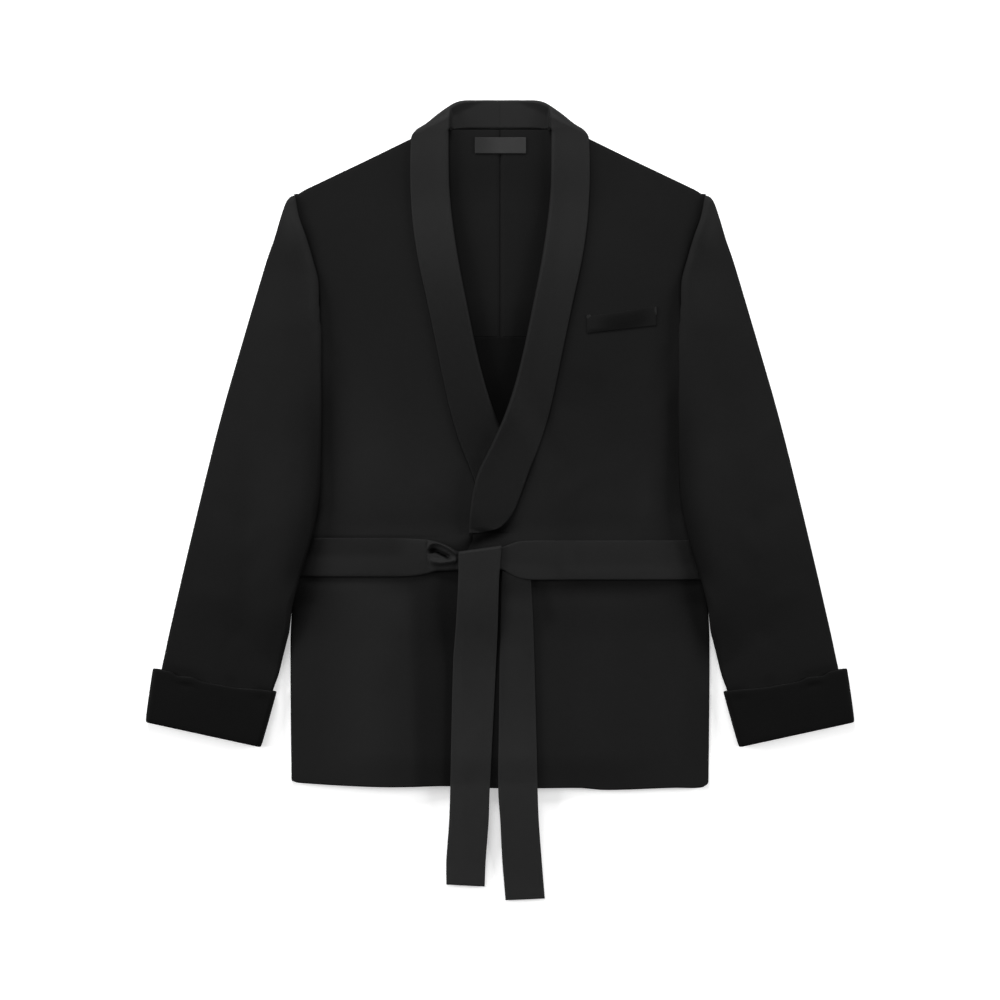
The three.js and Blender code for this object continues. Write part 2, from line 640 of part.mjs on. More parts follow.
function underSleeve(side) {
  const rows = sleeveRows.slice(2);
  const plan = (u, row) => {
    const innerX = sleeveInnerX(row.inner);
    const outerX = readTable(sleeveOuter, 'y', 'x', row.outer);
    const armhole = row.inner > 160 ? backArmhole : frontArmhole;
    const atArmhole = readTable(armhole, 'y', 'x', row.inner) + backSetback;
    const seamX = row.inner > armpitY ? atArmhole : innerX + sleeveFold + seam;
    const x = mix(seamX, Math.max(outerX - row.wide - seam, seamX + leastUnderSleeve), u);
    return [side * x, mix(row.inner, row.outer, (x - innerX) / (outerX - innerX))];
  };
  const floor = (x, y) => sleeveFloor(Math.abs(x), y);
  const name = side > 0 ? 'under_sleeve_left' : 'under_sleeve_right';
  return laidSheet(name, rows, [0, 0.25, 0.5, 0.75, 1], plan, floor, wall.sleeve, cloth.body);
}

// Turned-back cuff: a flattened ring whose lower edge folds in to the sleeve's lining side
const cuffEnds = {
  topInner: new THREE.Vector2(259.5, -219.5),
  topOuter: new THREE.Vector2(398.5, -196),
  hemInner: new THREE.Vector2(277, -280),
  hemOuter: new THREE.Vector2(407.5, -251),
};
const cuffHeight = 12.2;
const cuffSteps = { flat: 6, round: 5 };
const cuffProfile = [
  { down: 0, inset: 0 },
  { down: 0.5, inset: 0 },
  { down: 0.94, inset: 0.2 },
  { down: 1, inset: 1.6 },
  { down: 0.985, inset: 4.8 },
  { down: 0.9, inset: 4.8 },
  { down: 0.885, inset: 2.4 },
  { down: 0, inset: 2.4 },
];

// Points round a flattened ring: along its top, round the outer end, back below, round the inner end
function flatRing(from, to, halfHeight, flatSteps, roundSteps) {
  const way = new THREE.Vector2().subVectors(to, from).normalize();
  const start = from.clone().addScaledVector(way, halfHeight);
  const end = to.clone().addScaledVector(way, -halfHeight);
  const points = [];
  const half = (first, second, sign) => {
    for (let i = 0; i < flatSteps; i += 1) {
      const place = first.clone().lerp(second, i / flatSteps);
      points.push({ place, rise: sign * halfHeight });
    }
    for (let i = 0; i < roundSteps; i += 1) {
      const angle = (i / roundSteps) * Math.PI;
      const place = second.clone().addScaledVector(way, sign * halfHeight * Math.sin(angle));
      points.push({ place, rise: sign * halfHeight * Math.cos(angle) });
    }
  };
  half(start, end, 1);
  half(end, start, -1);
  return points;
}

function cuff(side) {
  const rings = cuffProfile.map(({ down, inset }) => {
    const inner = cuffEnds.topInner.clone().lerp(cuffEnds.hemInner, down);
    const outer = cuffEnds.topOuter.clone().lerp(cuffEnds.hemOuter, down);
    const way = new THREE.Vector2().subVectors(outer, inner).normalize();
    inner.addScaledVector(way, inset);
    outer.addScaledVector(way, -inset);
    return flatRing(inner, outer, cuffHeight / 2 - inset, cuffSteps.flat, cuffSteps.round);
  });
  const positions = [];
  for (const ring of rings) {
    for (const { place, rise } of ring) positions.push(side * place.x, place.y, cuffHeight / 2 + rise);
  }
  const around = rings[0].length;
  const faces = [];
  for (let ring = 0; ring < rings.length; ring += 1) {
    const next = (ring + 1) % rings.length;
    for (let i = 0; i < around; i += 1) {
      const j = (i + 1) % around;
      const [a, b, c, d] = [ring * around + i, ring * around + j, next * around + j, next * around + i];
      faces.push(a, b, c, a, c, d);
    }
  }
  return closedMesh(side > 0 ? 'cuff_left' : 'cuff_right', positions, faces, cloth.velvet);
}

// Back lining where the neck shows it: an upper yoke in two halves and the lower lining
const lining = { yokeHemY: 188, lowestY: 66, narrowestY: 84, leastHalfWidth: 8, tuck: 14, topY: 426 };
const liningFloor = (x, y) => backFloor(x, y) + wall.back + stitched;
const liningHalfWidth = (y) => Math.max(Math.abs(rollX(y)), lining.leastHalfWidth) + lining.tuck;

function yokeLining(side) {
  const plan = (u, v) => {
    const y = mix(lining.yokeHemY + seam / 2, lining.topY, v);
    return [side * mix(seam / 2, liningHalfWidth(y), u), y];
  };
  const name = side > 0 ? 'yoke_lining_left' : 'yoke_lining_right';
  return laidSheet(name, evenSteps(9), evenSteps(3), plan, liningFloor, wall.lining, cloth.upperLining);
}

function lowerLining() {
  const plan = (u, v) => {
    const y = mix(lining.lowestY, lining.yokeHemY - seam / 2, v);
    const halfWidth = liningHalfWidth(Math.max(y, lining.narrowestY));
    return [mix(-halfWidth, halfWidth, u), y];
  };
  const grid = evenSteps(4);
  return laidSheet('lower_lining', grid, grid, plan, liningFloor, wall.lining, cloth.lowerLining);
}

const labelBox = { left: -28.8, right: 29.9, low: 398.5, high: 416.9 };

function neckLabel() {
  const plan = (u, v) => [mix(labelBox.left, labelBox.right, u), mix(labelBox.low, labelBox.high, v)];
  const floor = (x, y) => liningFloor(x, y) + wall.lining + stitched;
  return laidSheet('neck_label', evenSteps(3), evenSteps(3), plan, floor, wall.label, cloth.label);
}

// Slanted welt of the breast pocket, on the wearer's left front
const weltEnds = {
  inner: { x: 100, low: 191.5, high: 211 },
  outer: { x: 179.5, low: 200.8, high: 223.6 },
};

function breastWelt() {
  const plan = (u, v) => {
    const low = mix(weltEnds.inner.low, weltEnds.outer.low, u);
    const high = mix(weltEnds.inner.high, weltEnds.outer.high, u);
    return [mix(weltEnds.inner.x, weltEnds.outer.x, u), mix(low, high, v)];
  };
  const floor = (x, y) => upperTop(x, y) + stitched;
  return laidSheet('breast_welt', evenSteps(2), evenSteps(6), plan, floor, wall.welt, cloth.velvet);
}

// Belt: edges of the front stretches, which narrow towards the knot
const beltSide = 243.5;
const leftStretch = [
  { x: -20, high: -62.5, low: -79 },
  { x: 3.5, high: -59.5, low: -81.5 },
  { x: 10, high: -49, low: -85 },
  { x: 18, high: -45.6, low: -88 },
  { x: 30, high: -45.4, low: -90.3 },
  { x: 244, high: -45.4, low: -90.3 },
];
const rightStretch = [
  { x: 84, high: -43.5, low: -86.5 },
  { x: 100, high: -41, low: -88.6 },
  { x: 120, high: -40.8, low: -89.1 },
  { x: 244, high: -40.8, low: -89.1 },
];
const stretchStart = { left: -19.7, right: 84.3 }; // inner ends, from the middle towards their sides
const beltTurn = { height: 13.5, run: 10 }; // the fold round the body's side and its run beneath
const beltBackEdges = { low: -89.5, high: -42 };
const knotLevel = 17.8; // the belt's underside where it passes into the knot

// Underside of the wearer's left stretch, raised over the lower tail and into the knot
function leftStretchFloor(x, y) {
  return mix(coverLevel(x, y), knotLevel, ramp(x, ...softStep.intoKnotLeftX));
}

function frontStretch(side) {
  const table = side > 0 ? leftStretch : rightStretch;
  const start = new THREE.Vector2(side > 0 ? stretchStart.left : stretchStart.right, 0);
  const end = new THREE.Vector2(beltSide, 0);
  const level = side > 0 ? leftStretchFloor : coverLevel;
  const around = { turn: 1, run: beltTurn.run, runSteps: 1, floor: () => 0 };
  const rows = [0, 0.33, 0.67, 1].map((v) => {
    const yAt = (x) => mix(readTable(table, 'x', 'low', x), readTable(table, 'x', 'high', x), v);
    const top = (x) => level(side * x, yAt(x)) + wall.belt;
    const points = foldedRow(start, end, top, cutEnd, around, evenSteps(16));
    return points.map((point) => new THREE.Vector3(side * point.x, yAt(point.x), point.z));
  });
  if (side > 0) rows.reverse();
  const name = side > 0 ? 'belt_front_left' : 'belt_front_right';
  return curvedSheet(name, rows.reverse(), wall.belt, cloth.facing);
}

function beltBack() {
  const halfWidth = beltSide - beltTurn.height / 2 - beltTurn.run - seam;
  const plan = (u, v) => [mix(-halfWidth, halfWidth, u), mix(beltBackEdges.low, beltBackEdges.high, v)];
  return laidSheet('belt_back', [0, 1], evenSteps(4), plan, () => 0, wall.belt, cloth.facing);
}

// Knot: the end of the wearer's right stretch, drawn in and folded into two ridges with a hollow between
const knotSections = [
  { x: -84, high: -43.5, low: -86.5, ridge: 0 },
  { x: -77, high: -44.5, low: -85, ridge: 2.6 },
  { x: -70, high: -46.8, low: -83, ridge: 4.2 },
  { x: -63, high: -50, low: -81.5, ridge: 4.6 },
  { x: -56, high: -53.8, low: -80, ridge: 3.6 },
  { x: -49, high: -64.5, low: -79, ridge: 0 },
  { x: -34, high: -64, low: -78.5, ridge: 0 },
  { x: -20, high: -62, low: -78.5, ridge: 0 },
];

// Soft rise and fall of each ridge, as shares of the knot's width from its upper edge
const knotRidges = [
  { rise: [0, 0.2], fall: [0.45, 0.27] },
  { rise: [0.47, 0.64], fall: [0.96, 0.72] },
];

function beltKnot() {
  const across = [0, 0.12, 0.24, 0.36, 0.46, 0.56, 0.68, 0.8, 1];
  const plan = (v, section) => [section.x, mix(section.high, section.low, v)];
  const floor = (x, y) => {
    const high = readTable(knotSections, 'x', 'high', x);
    const low = readTable(knotSections, 'x', 'low', x);
    const v = (high - y) / (high - low);
    const level = mix(coverLevel(x, y), knotLevel, ramp(x, ...softStep.intoKnotRightX));
    const ridges = knotRidges.map(({ rise, fall }) => ramp(v, ...rise) * ramp(v, ...fall));
    return level + readTable(knotSections, 'x', 'ridge', x) * (ridges[0] + ridges[1]);
  };
  return laidSheet('belt_knot', knotSections, across, plan, floor, wall.belt, cloth.facing);
}

// Hanging ends of the belt: edges from the knot down to the cut end
const upperTail = [
  { y: -50, left: -47.5, right: 2.3 },
  { y: -90, left: -48, right: -0.8 },
  { y: -140, left: -50.6, right: -2.3 },
  { y: -185, left: -54, right: -4.2 },
  { y: -333, left: -57.5, right: -11.5 },
  { y: -368, left: -58.7, right: -12.7 },
  { y: -414, left: -62, right: -16.1 },
  { y: -444, left: -62.1, right: -17.3 },
];
const lowerTail = [
  { y: -80, left: 2, right: 35 },
  { y: -90, left: 1, right: 35.5 },
  { y: -140, left: -0.2, right: 38.3 },
  { y: -250, left: -1.5, right: 41.4 },
  { y: -333, left: -2.3, right: 43.5 },
  { y: -368, left: 0, right: 44.9 },
  { y: -414, left: 2.3, right: 48.3 },
  { y: -459.4, left: 6, right: 52 },
];

// Heights at which a tail bends: off the belt, down the skirt, and off the hem to the surface
const hemTopY = -325;
const tailBends = [
  -88, -95, -104, -113, -122, -136, -150, -190, -240, -290, hemTopY, -341, -352, -364, -375, -386,
];

// Underside of a tail: on the skirt, then down past the hem to the surface
function tailFloor(x, y) {
  return coverLevel(x, Math.max(y, hemTopY)) * ramp(y, ...softStep.tailOffHemY);
}

// Upper tail: comes from behind the knot, folds over it and hangs down. Its ends run level or aslant.
const upperTailTop = { left: -58.2, right: -51.2, run: 6 };
const upperTailEnd = { left: -441, right: -444 };

function upperTailStrip() {
  const rows = [0, 0.33, 0.67, 1].map((u) => {
    const xAt = (y) => mix(readTable(upperTail, 'y', 'left', y), readTable(upperTail, 'y', 'right', y), u);
    const start = new THREE.Vector2(0, mix(upperTailTop.left, upperTailTop.right, u));
    const end = new THREE.Vector2(0, mix(upperTailEnd.left, upperTailEnd.right, u));
    const overKnot = knotLevel + wall.belt + lay;
    const top = (_, y) => mix(tailFloor(xAt(y), y), overKnot, ramp(y, ...softStep.tailOnKnotY)) + wall.belt;
    const behindFloor = (_, y) => coverLevel(xAt(y), y) + lay;
    const behind = { turn: 1, run: upperTailTop.run, runSteps: 1, floor: behindFloor };
    const middle = [0, ...tailBends.map((y) => (y - start.y) / (end.y - start.y)), 0.93, 1];
    const points = foldedRow(start, end, top, behind, cutEnd, middle);
    return points.map((point) => new THREE.Vector3(xAt(point.y), point.y, point.z));
  });
  return curvedSheet('belt_tail_upper', rows, wall.belt, cloth.facing);
}

const lowerTailEnd = { left: -456.5, middle: -458, right: -459.4 };

function lowerTailStrip() {
  const startY = lowerTail[0].y;
  const lengths = [0, ...tailBends.map((y) => (y - startY) / (lowerTailEnd.middle - startY)), 0.91, 1];
  const plan = (u, v) => {
    const y = mix(startY, mix(lowerTailEnd.left, lowerTailEnd.right, u), v);
    return [mix(readTable(lowerTail, 'y', 'left', y), readTable(lowerTail, 'y', 'right', y), u), y];
  };
  return laidSheet('belt_tail_lower', lengths, evenSteps(3), plan, tailFloor, wall.belt, cloth.facing);
}

const jacket = new THREE.Group();
for (const side of [1, -1]) {
  jacket.add(backHalf(side), front(side), collarHalf(side), yokeLining(side));
  jacket.add(upperSleeve(side), underSleeve(side), cuff(side), frontStretch(side));
}
jacket.add(lowerLining(), neckLabel(), breastWelt());
jacket.add(beltBack(), beltKnot(), upperTailStrip(), lowerTailStrip());

export default jacket;
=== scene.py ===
import math

import bpy
import numpy as np
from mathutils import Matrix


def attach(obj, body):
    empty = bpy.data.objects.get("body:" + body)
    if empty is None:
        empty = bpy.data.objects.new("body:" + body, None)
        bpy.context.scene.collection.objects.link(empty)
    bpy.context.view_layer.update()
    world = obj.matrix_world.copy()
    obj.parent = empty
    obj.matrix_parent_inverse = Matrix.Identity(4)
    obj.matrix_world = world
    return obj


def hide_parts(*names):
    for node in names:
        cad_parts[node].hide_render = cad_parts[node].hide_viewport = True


# Smoking jacket laid flat on its back, seen from above with the head towards +Y.
# The wearer's left front (+X) wraps over the right, and a cloth belt is tied over both.
# Shapes are worked out in millimetres and put into the meshes in metres.

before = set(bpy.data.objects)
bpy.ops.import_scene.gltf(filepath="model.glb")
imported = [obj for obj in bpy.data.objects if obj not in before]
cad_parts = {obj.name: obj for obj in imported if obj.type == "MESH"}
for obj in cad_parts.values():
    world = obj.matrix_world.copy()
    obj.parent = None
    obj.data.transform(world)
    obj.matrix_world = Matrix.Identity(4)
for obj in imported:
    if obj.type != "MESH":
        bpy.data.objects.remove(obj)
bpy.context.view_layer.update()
metre = 0.001  # one millimetre
print("frame loaded:", len(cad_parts), "nodes")


# Curves and steps

def ramp(value, start, end):
    # 0 up to start, 1 past end and 3t2 - 2t3 of the share t between them. End may be the lower one.
    t = np.clip((value - start) / (end - start), 0, 1)
    return t * t * (3 - 2 * t)


def mix(first, second, share):
    return first + (second - first) * share


def curve(table, key, column, at):
    # Smooth curve through a table's rows: each slope is that between the rows on either side
    keys, values = np.array(table[key], float), np.array(table[column], float)
    if keys[0] > keys[-1]:
        keys, values = keys[::-1], values[::-1]
    rows = np.arange(len(keys))
    before, after = np.maximum(rows - 1, 0), np.minimum(rows + 1, len(rows) - 1)
    slopes = (values[after] - values[before]) / (keys[after] - keys[before])
    at = np.clip(at, keys[0], keys[-1])
    low = np.clip(np.searchsorted(keys, at, side="right") - 1, 0, len(rows) - 2)
    span = keys[low + 1] - keys[low]
    t = (at - keys[low]) / span
    ends = values[low] * (1 + 2 * t) * (1 - t) ** 2 + values[low + 1] * t * t * (3 - 2 * t)
    return ends + span * t * (1 - t) * ((1 - t) * slopes[low] - t * slopes[low + 1])


def alongRows(table, column, places):
    # A table's column read at places counted in rows from its first row
    return curve({"row": range(len(table[column])), column: table[column]}, "row", column, places)


def stripSteps(length, step, startRim, endRim):
    # Places along a strip: even steps, and quarter-circle steps close to each end
    rim = 1 - np.cos(np.linspace(0, math.pi / 2, 6))
    inner = length - startRim - endRim
    middle = startRim + inner * np.linspace(0, 1, max(int(inner / step), 2) + 1)
    return np.concatenate([rim[:-1] * startRim, middle, length - rim[:-1][::-1] * endRim])


def stripShares(length, step, startRim, endRim):
    # The same places as shares of the length
    return stripSteps(length, step, startRim, endRim) / length


def hump(value, middle, width):
    # 1 at the middle, falling off as a bell
    return np.exp(-((value - middle) / width) ** 2)


def surface(x, y, z):
    return np.stack([x, y, z], axis=2)


def between(table, key, columns, at, share):
    # Place between two columns of a table, each read at the key
    first, second = (curve(table, key, column, at) for column in columns)
    return mix(first, second, share)


# The cloth's own sizes

wall = {"back": 2, "front": 2.6, "collar": 2.4, "sleeve": 2, "cuff": 2.4, "lining": 1, "belt": 3,
        "welt": 0.8, "label": 0.8}
seam = 0.3  # gap along a seam
lay = 0.6  # gap between layers that lie on each other
inside = 2  # free height between the back and the fronts
armpitY = 98
neck = {"y": 426, "halfWidth": 58.5, "pointX": 61.7}
shoulder = {"tipX": 237, "tipY": 352, "slope": 0.4775}
frontEdgeX = 38
rollSetback = 4.8

sideSeam = {"y": [-335, -160, -110, -30, 40, 98], "x": [240.2, 241.3, 239, 236.8, 236, 231]}
frontArmhole = {
    "y": [98, 125, 160, 205, 250, 277, 304, 326, 352],
    "x": [231, 221, 212.5, 208.8, 208.6, 215.2, 223.3, 231.3, 237],
}
backArmhole = {"y": [98, 130, 170, 220, 270, 310, 352], "x": [226, 217, 211, 210, 214, 224.5, 237]}
hemLine = {
    "x": [-240, -232, -140, -66, 0, 90, 122, 200, 232, 240],
    "y": [-322.3, -324.8, -329.3, -328.3, -330.6, -330.6, -332.9, -330.4, -330.2, -325.5],
}

# Levels of the body's rows, at the middle and at the armhole
bodyLevels = {
    "middle": [-285, -230, -170, -122, -80, -35, 0, 28, 64, 100, 142, 186, 226, 266, 302, 338, 372, 402,
               434.5],
    "side": [-285, -230, -170, -122, -80, -35, 0, 28, 64, 98, 130, 164, 194, 226, 252, 279, 305, 327, 352],
}

# Collar sections from the lapel's tip round to the centre back: inner is the roll line and then the
# neck seam, outer the lapel's edge and then the top fold, fall the edge turned under at the back
collarTable = {
    "innerX": [-35.8, -35.6, -34.8, -33.2, -30, -24, -10.4, 4, 16, 26.8, 37.2, 46.6, 53.2, 57.6, 58.7, 58.8,
               58.8, 57.5, 50, 40, 28, 14, 0],
    "innerY": [-38.5, -32, -19, -4, 15, 35, 62.7, 95, 130, 172, 222, 270, 312, 352, 385, 408,
               419, 426.8, 426.8, 426.8, 426.5, 426.3, 426.3],
    "outerX": [-25, -12, 2, 15, 25, 34, 46, 56, 64.5, 73.5, 83.5, 93.5, 99.8, 102.6, 103, 102.4,
               101.2, 95.8, 85.1, 67, 48, 24, 0],
    "outerY": [-36.8, -35.2, -29.6, -13.5, 11, 36, 66, 99, 136, 180, 228, 274, 315, 354, 387, 409,
               419.4, 426.6, 433.4, 447.8, 459, 460.6, 460.6],
    "nose": [1] * 16 + [0.6, 0, 0, 0, 0, 0, 0],
    "turn": [0] * 17 + [0.45, 1, 1, 1, 1, 1],
    "fallX": [86] * 18 + [78, 60, 38, 17, 0],
    "fallY": [427] * 18 + [428, 415, 407, 405, 405],
}
lapelCount = 17


def rollX(y):
    return np.interp(y, collarTable["innerY"][:lapelCount], collarTable["innerX"][:lapelCount])


def lapelOuterX(y):
    lapel = {column: collarTable[column][:lapelCount] for column in ("outerX", "outerY")}
    return curve(lapel, "outerY", "outerX", y)


def shoulderLine(x):
    return shoulder["tipY"] + (shoulder["tipX"] - np.abs(x)) * shoulder["slope"]


def hemY(x):
    return curve(hemLine, "x", "y", x)


def sideX(y):
    return curve(sideSeam, "y", "x", y)


# Creases: soft ridges (positive) and troughs (negative), each along a line that fades at both ends.
# A row holds the line's start x and y, its end x and y, and the crease's height and width.
bodyCreases = [
    (-150, 140, -120, -20, 1.2, 26), (172, 40, 166, -40, 1.1, 9), (96, 150, 78, 96, -1.2, 16),
    (-196, 190, -176, 110, -1.0, 12), (196, 186, 178, 104, -0.9, 11), (-60, -8, -92, 26, 0.9, 8),
    (60, -6, 108, 34, 0.8, 10), (20, -100, 34, -180, 0.6, 9), (-120, -112, -128, -215, 0.8, 14),
    (120, -118, 138, -260, 0.9, 16), (205, -140, 196, -300, -0.8, 12), (-204, -140, -192, -310, -0.7, 14),
    (150, 60, 120, 20, 0.6, 16), (-172, 60, -120, 18, 0.5, 20),
]

# Painted light and shade on the fronts: lighter (positive) and darker places along lines, such as painted
# shade beside the sleeves, above and under the belt, below the lapel's end and beside the tails, in rows of
# the same form
bodyPaintedShading = [
    (-197, 170, -197, 20, -0.24, 17), (200, 170, 204, 0, -0.28, 13), (-152, 120, -140, -10, 0.12, 34),
    (172, 20, 170, -50, 0.12, 12), (126, 150, 72, 96, -0.08, 14), (40, -98, 225, -98, -0.34, 10),
    (-104, -96, -206, -96, 0.30, 7), (-150, -20, -155, -420, 0.26, 38), (226, -130, 226, -320, -0.08, 18),
    (-219, -80, -240, -165, -0.45, 9), (219, -80, 240, -200, -0.40, 11), (-52, -57, 22, -25, -0.90, 7.5),
    (-237, 354, -216, 292, -0.26, 6), (237, 354, 216, 292, -0.26, 6), (-222, 318, -206, 214, -0.34, 7),
    (222, 318, 206, 214, -0.34, 7), (46, -84, 58, -150, -0.28, 9), (-66, -96, -62, -180, -0.12, 10),
    (-60, -41.2, -250, -41.2, -0.35, 1.8), (110, 270, 110, -110, -0.10, 90),
]


def creases(table, x, y):
    total = np.zeros(np.broadcast(x, y).shape)
    for startX, startY, endX, endY, height, width in table:
        lineX, lineY = endX - startX, endY - startY
        t = ((x - startX) * lineX + (y - startY) * lineY) / (lineX * lineX + lineY * lineY)
        held = np.clip(t, 0, 1)
        away = np.hypot(x - startX - held * lineX, y - startY - held * lineY)
        fade = ramp(t, -0.1, 0.35) * ramp(t, 1.1, 0.65)
        total += height * fade * hump(away, 0, width)
    return total


# Heights of the layers, each on the one below it

bodyForm = {"loft": 3.4, "skirtFold": 6.4, "waistDip": 1.0}


def waistBand(y):
    return ramp(y, -122, -95) * ramp(y, -8, -35)


def backFloor(x, y):
    overFall = ramp(y, 338, 402) * ramp(np.abs(x), 160, 106)
    return (wall["belt"] + seam) * waistBand(y) + (wall["collar"] + lay) * overFall


def skirtCrease(y):
    return -104 - 0.035 * (y + 120)


def frontPaintedShading(x, y):
    # Painted shade beside the skirt's crease, where the cloth turns away, as far as the tail
    past = ramp(x, skirtCrease(y) - 8, skirtCrease(y) + 13) * ramp(x, -20, -56) * ramp(y, -90, -112)
    return creases(bodyPaintedShading, x, y) - 0.27 * past


def skirtFold(x, y):
    # Climbs slowly from the side to its crease, then slopes down towards the tail beside it, for the
    # whole height of the skirt
    crease = skirtCrease(y)
    climb = np.clip((x + 212) / (crease + 212), 0, 1) ** 1.4
    fall = np.clip((x + 46) / (crease + 46), 0, 1)
    lean = np.minimum(climb, fall * 0.95 + 0.05 * ramp(fall, 0.8, 1))
    return bodyForm["skirtFold"] * lean * ramp(y, -92, -158)


def bodyLoft(x, y):
    # The fronts stand a little off the back, and sink to it at the sides and the belt
    beside = ramp(np.abs(x), 208, 122) * ramp(y, 360, 250)
    dip = bodyForm["waistDip"] * (hump(y, -30, 14) + hump(y, -104, 14))
    return bodyForm["loft"] * beside * ramp(y, -335, -290) - dip * beside


def frontFloor(x, y):
    toSide = ramp(sideX(y) - np.abs(x), 56, 4) * ramp(y, 130, 92)
    toShoulder = ramp(shoulderLine(x) - y, 66, 5) * ramp(np.abs(x), 74, 130)
    opened = 1 - np.maximum(toSide, toShoulder)
    overBelt = ramp(y, -165, -95) * ramp(y, 70, -35) - waistBand(y)
    loose = bodyLoft(x, y) + creases(bodyCreases, x, y) + (wall["belt"] + seam) * overBelt
    form = skirtFold(x, y) + loose * opened
    return backFloor(x, y) + wall["back"] + mix(lay, inside, opened) + form


def upperFloor(x, y):
    pastEdge = x + rollX(y)
    overFront = ramp(pastEdge, 58, 18)
    lapelStart = np.where(y > -44, -lapelOuterX(y), 24)
    pastLapel = ramp(x - lapelStart, -40, -10) * ramp(pastEdge, 56, 16)
    lapelEndY = -30 - 0.45 * np.maximum(x, -5)
    overLapel = pastLapel * ramp(y - lapelEndY, -31, -6) * ramp(y, 150, 86)
    return frontFloor(x, y) + (wall["front"] + lay) * overFront + (wall["collar"] + 1) * overLapel


def lowerTop(x, y):
    return frontFloor(x, y) + wall["front"]


def upperTop(x, y):
    return upperFloor(x, y) + wall["front"]


def coverLevel(x, y):
    # What the belt and its tails lie on: the upper front, with a soft step down past its edge
    edge = -frontEdgeX - 3
    onLower = mix(lowerTop(x, y), upperTop(edge + 0 * x, y), ramp(x, edge - 26, edge))
    return np.where(x >= edge, upperTop(x, y), onLower) + lay


def seamDip(distance, reach):
    # 1 on a seam and 0 a short way from it, along a quarter circle
    t = np.clip(1 - distance / reach, 0, 1)
    return 1 - np.sqrt(1 - t * t)


# Walls of cloth

# Painted shade: steep faces of the cloth are painted darker by this share
steepShade = 0.8  # how much of its light a vertical face of the cloth loses


def wallShape(top, thickness, rim, flat=False):
    # Closed wall under a grid of outer points: half its thickness each side of the middle surface,
    # drawn in to nothing along a quarter circle at the four edges. rim holds the reach of that
    # rounding at the first row, last row, first column and last column.
    down, across = np.gradient(top, axis=0), np.gradient(top, axis=1)
    normal = np.cross(across, down)
    normal /= np.maximum(np.linalg.norm(normal, axis=2, keepdims=True), 1e-9)
    if normal[..., 2].sum() < 0:
        normal = -normal
        flip = True
    else:
        flip = False
    alongRow = np.concatenate([np.zeros((len(top), 1)), np.cumsum(
        np.linalg.norm(np.diff(top, axis=1), axis=2), axis=1)], axis=1)
    alongColumn = np.concatenate([np.zeros((1, top.shape[1])), np.cumsum(
        np.linalg.norm(np.diff(top, axis=0), axis=2), axis=0)], axis=0)
    fromEdges = [alongColumn, alongColumn[-1:] - alongColumn, alongRow, alongRow[:, -1:] - alongRow]
    share = np.ones(top.shape[:2])
    for distance, reach in zip(fromEdges, rim):
        share = share * (1 - (1 - np.clip(distance / reach, 0, 1)) ** 2)
    half = normal * (thickness / 2) * np.sqrt(share)[..., None]
    middle = top - normal * thickness / 2
    outer, inner = middle + half, middle - half
    rows, columns = top.shape[:2]
    outerIndex = np.arange(rows * columns).reshape(rows, columns)
    innerIndex = outerIndex.copy()
    count = (rows - 2) * (columns - 2)
    innerIndex[1:-1, 1:-1] = rows * columns + np.arange(count).reshape(rows - 2, columns - 2)
    points = np.concatenate([outer.reshape(-1, 3), inner[1:-1, 1:-1].reshape(-1, 3)])
    if flat:
        sheetUv = top[..., :2]
    else:
        sheetUv = np.stack([alongRow - alongRow[:, columns // 2:columns // 2 + 1],
                            np.repeat(alongColumn[:, columns // 2:columns // 2 + 1], columns, 1)], axis=2)
    uv = np.concatenate([sheetUv.reshape(-1, 2), sheetUv[1:-1, 1:-1].reshape(-1, 2)])

    def quads(index, turned):
        a, b, c, d = index[:-1, :-1], index[:-1, 1:], index[1:, 1:], index[1:, :-1]
        corners = (a, d, c, b) if turned else (a, b, c, d)
        return np.stack(corners, axis=2).reshape(-1, 4)

    faces = np.concatenate([quads(outerIndex, flip), quads(innerIndex, not flip)])
    return points, faces, uv


def clothPiece(name, top, sheet, nap=0):
    # nap is how much lighter or darker the colour is painted at each point of top: painted light
    # and shade, with a little tone besides. Its outer face also gets painted shade where it turns steeply
    # down, at edges and folds.
    points, faces, uv = wallShape(top, sheet["wall"], sheet["rim"], sheet.get("mapFlat", False))
    outer = points[:top.shape[0] * top.shape[1]].reshape(top.shape)
    normal = np.cross(np.gradient(outer, axis=1), np.gradient(outer, axis=0))
    upright = np.abs(normal[..., 2]) / np.maximum(np.linalg.norm(normal, axis=2), 1e-9)
    nap = np.maximum((1 + nap) * (1 - steepShade * (1 - upright)) - 1, -0.9)
    nap = np.concatenate([nap.ravel(), nap[1:-1, 1:-1].ravel()])
    return declareSheet(meshPiece(name, points, faces, uv, nap), sheet)


def link(name, data):
    made = bpy.data.objects.new(name, data)
    bpy.context.collection.objects.link(made)
    return made


def meshPiece(name, points, faces, uv, nap=None):
    mesh = bpy.data.meshes.new(name)
    mesh.vertices.add(len(points))
    mesh.vertices.foreach_set("co", (points * metre).ravel())
    mesh.loops.add(faces.size)
    mesh.loops.foreach_set("vertex_index", faces.ravel())
    mesh.polygons.add(len(faces))
    mesh.polygons.foreach_set("loop_start", np.arange(0, faces.size, faces.shape[1]))
    mesh.polygons.foreach_set("use_smooth", np.ones(len(faces), bool))
    layer = mesh.uv_layers.new(name="cloth")
    layer.data.foreach_set("uv", (uv[faces.ravel()] * metre).ravel())
    # The painted light and shade ride on the mesh as a point attribute
    if nap is not None:
        mesh.attributes.new("nap", "FLOAT", "POINT").data.foreach_set("value", nap.astype(np.float32))
    mesh.update(calc_edges=True)
    mesh.validate()
    return link(name, mesh)


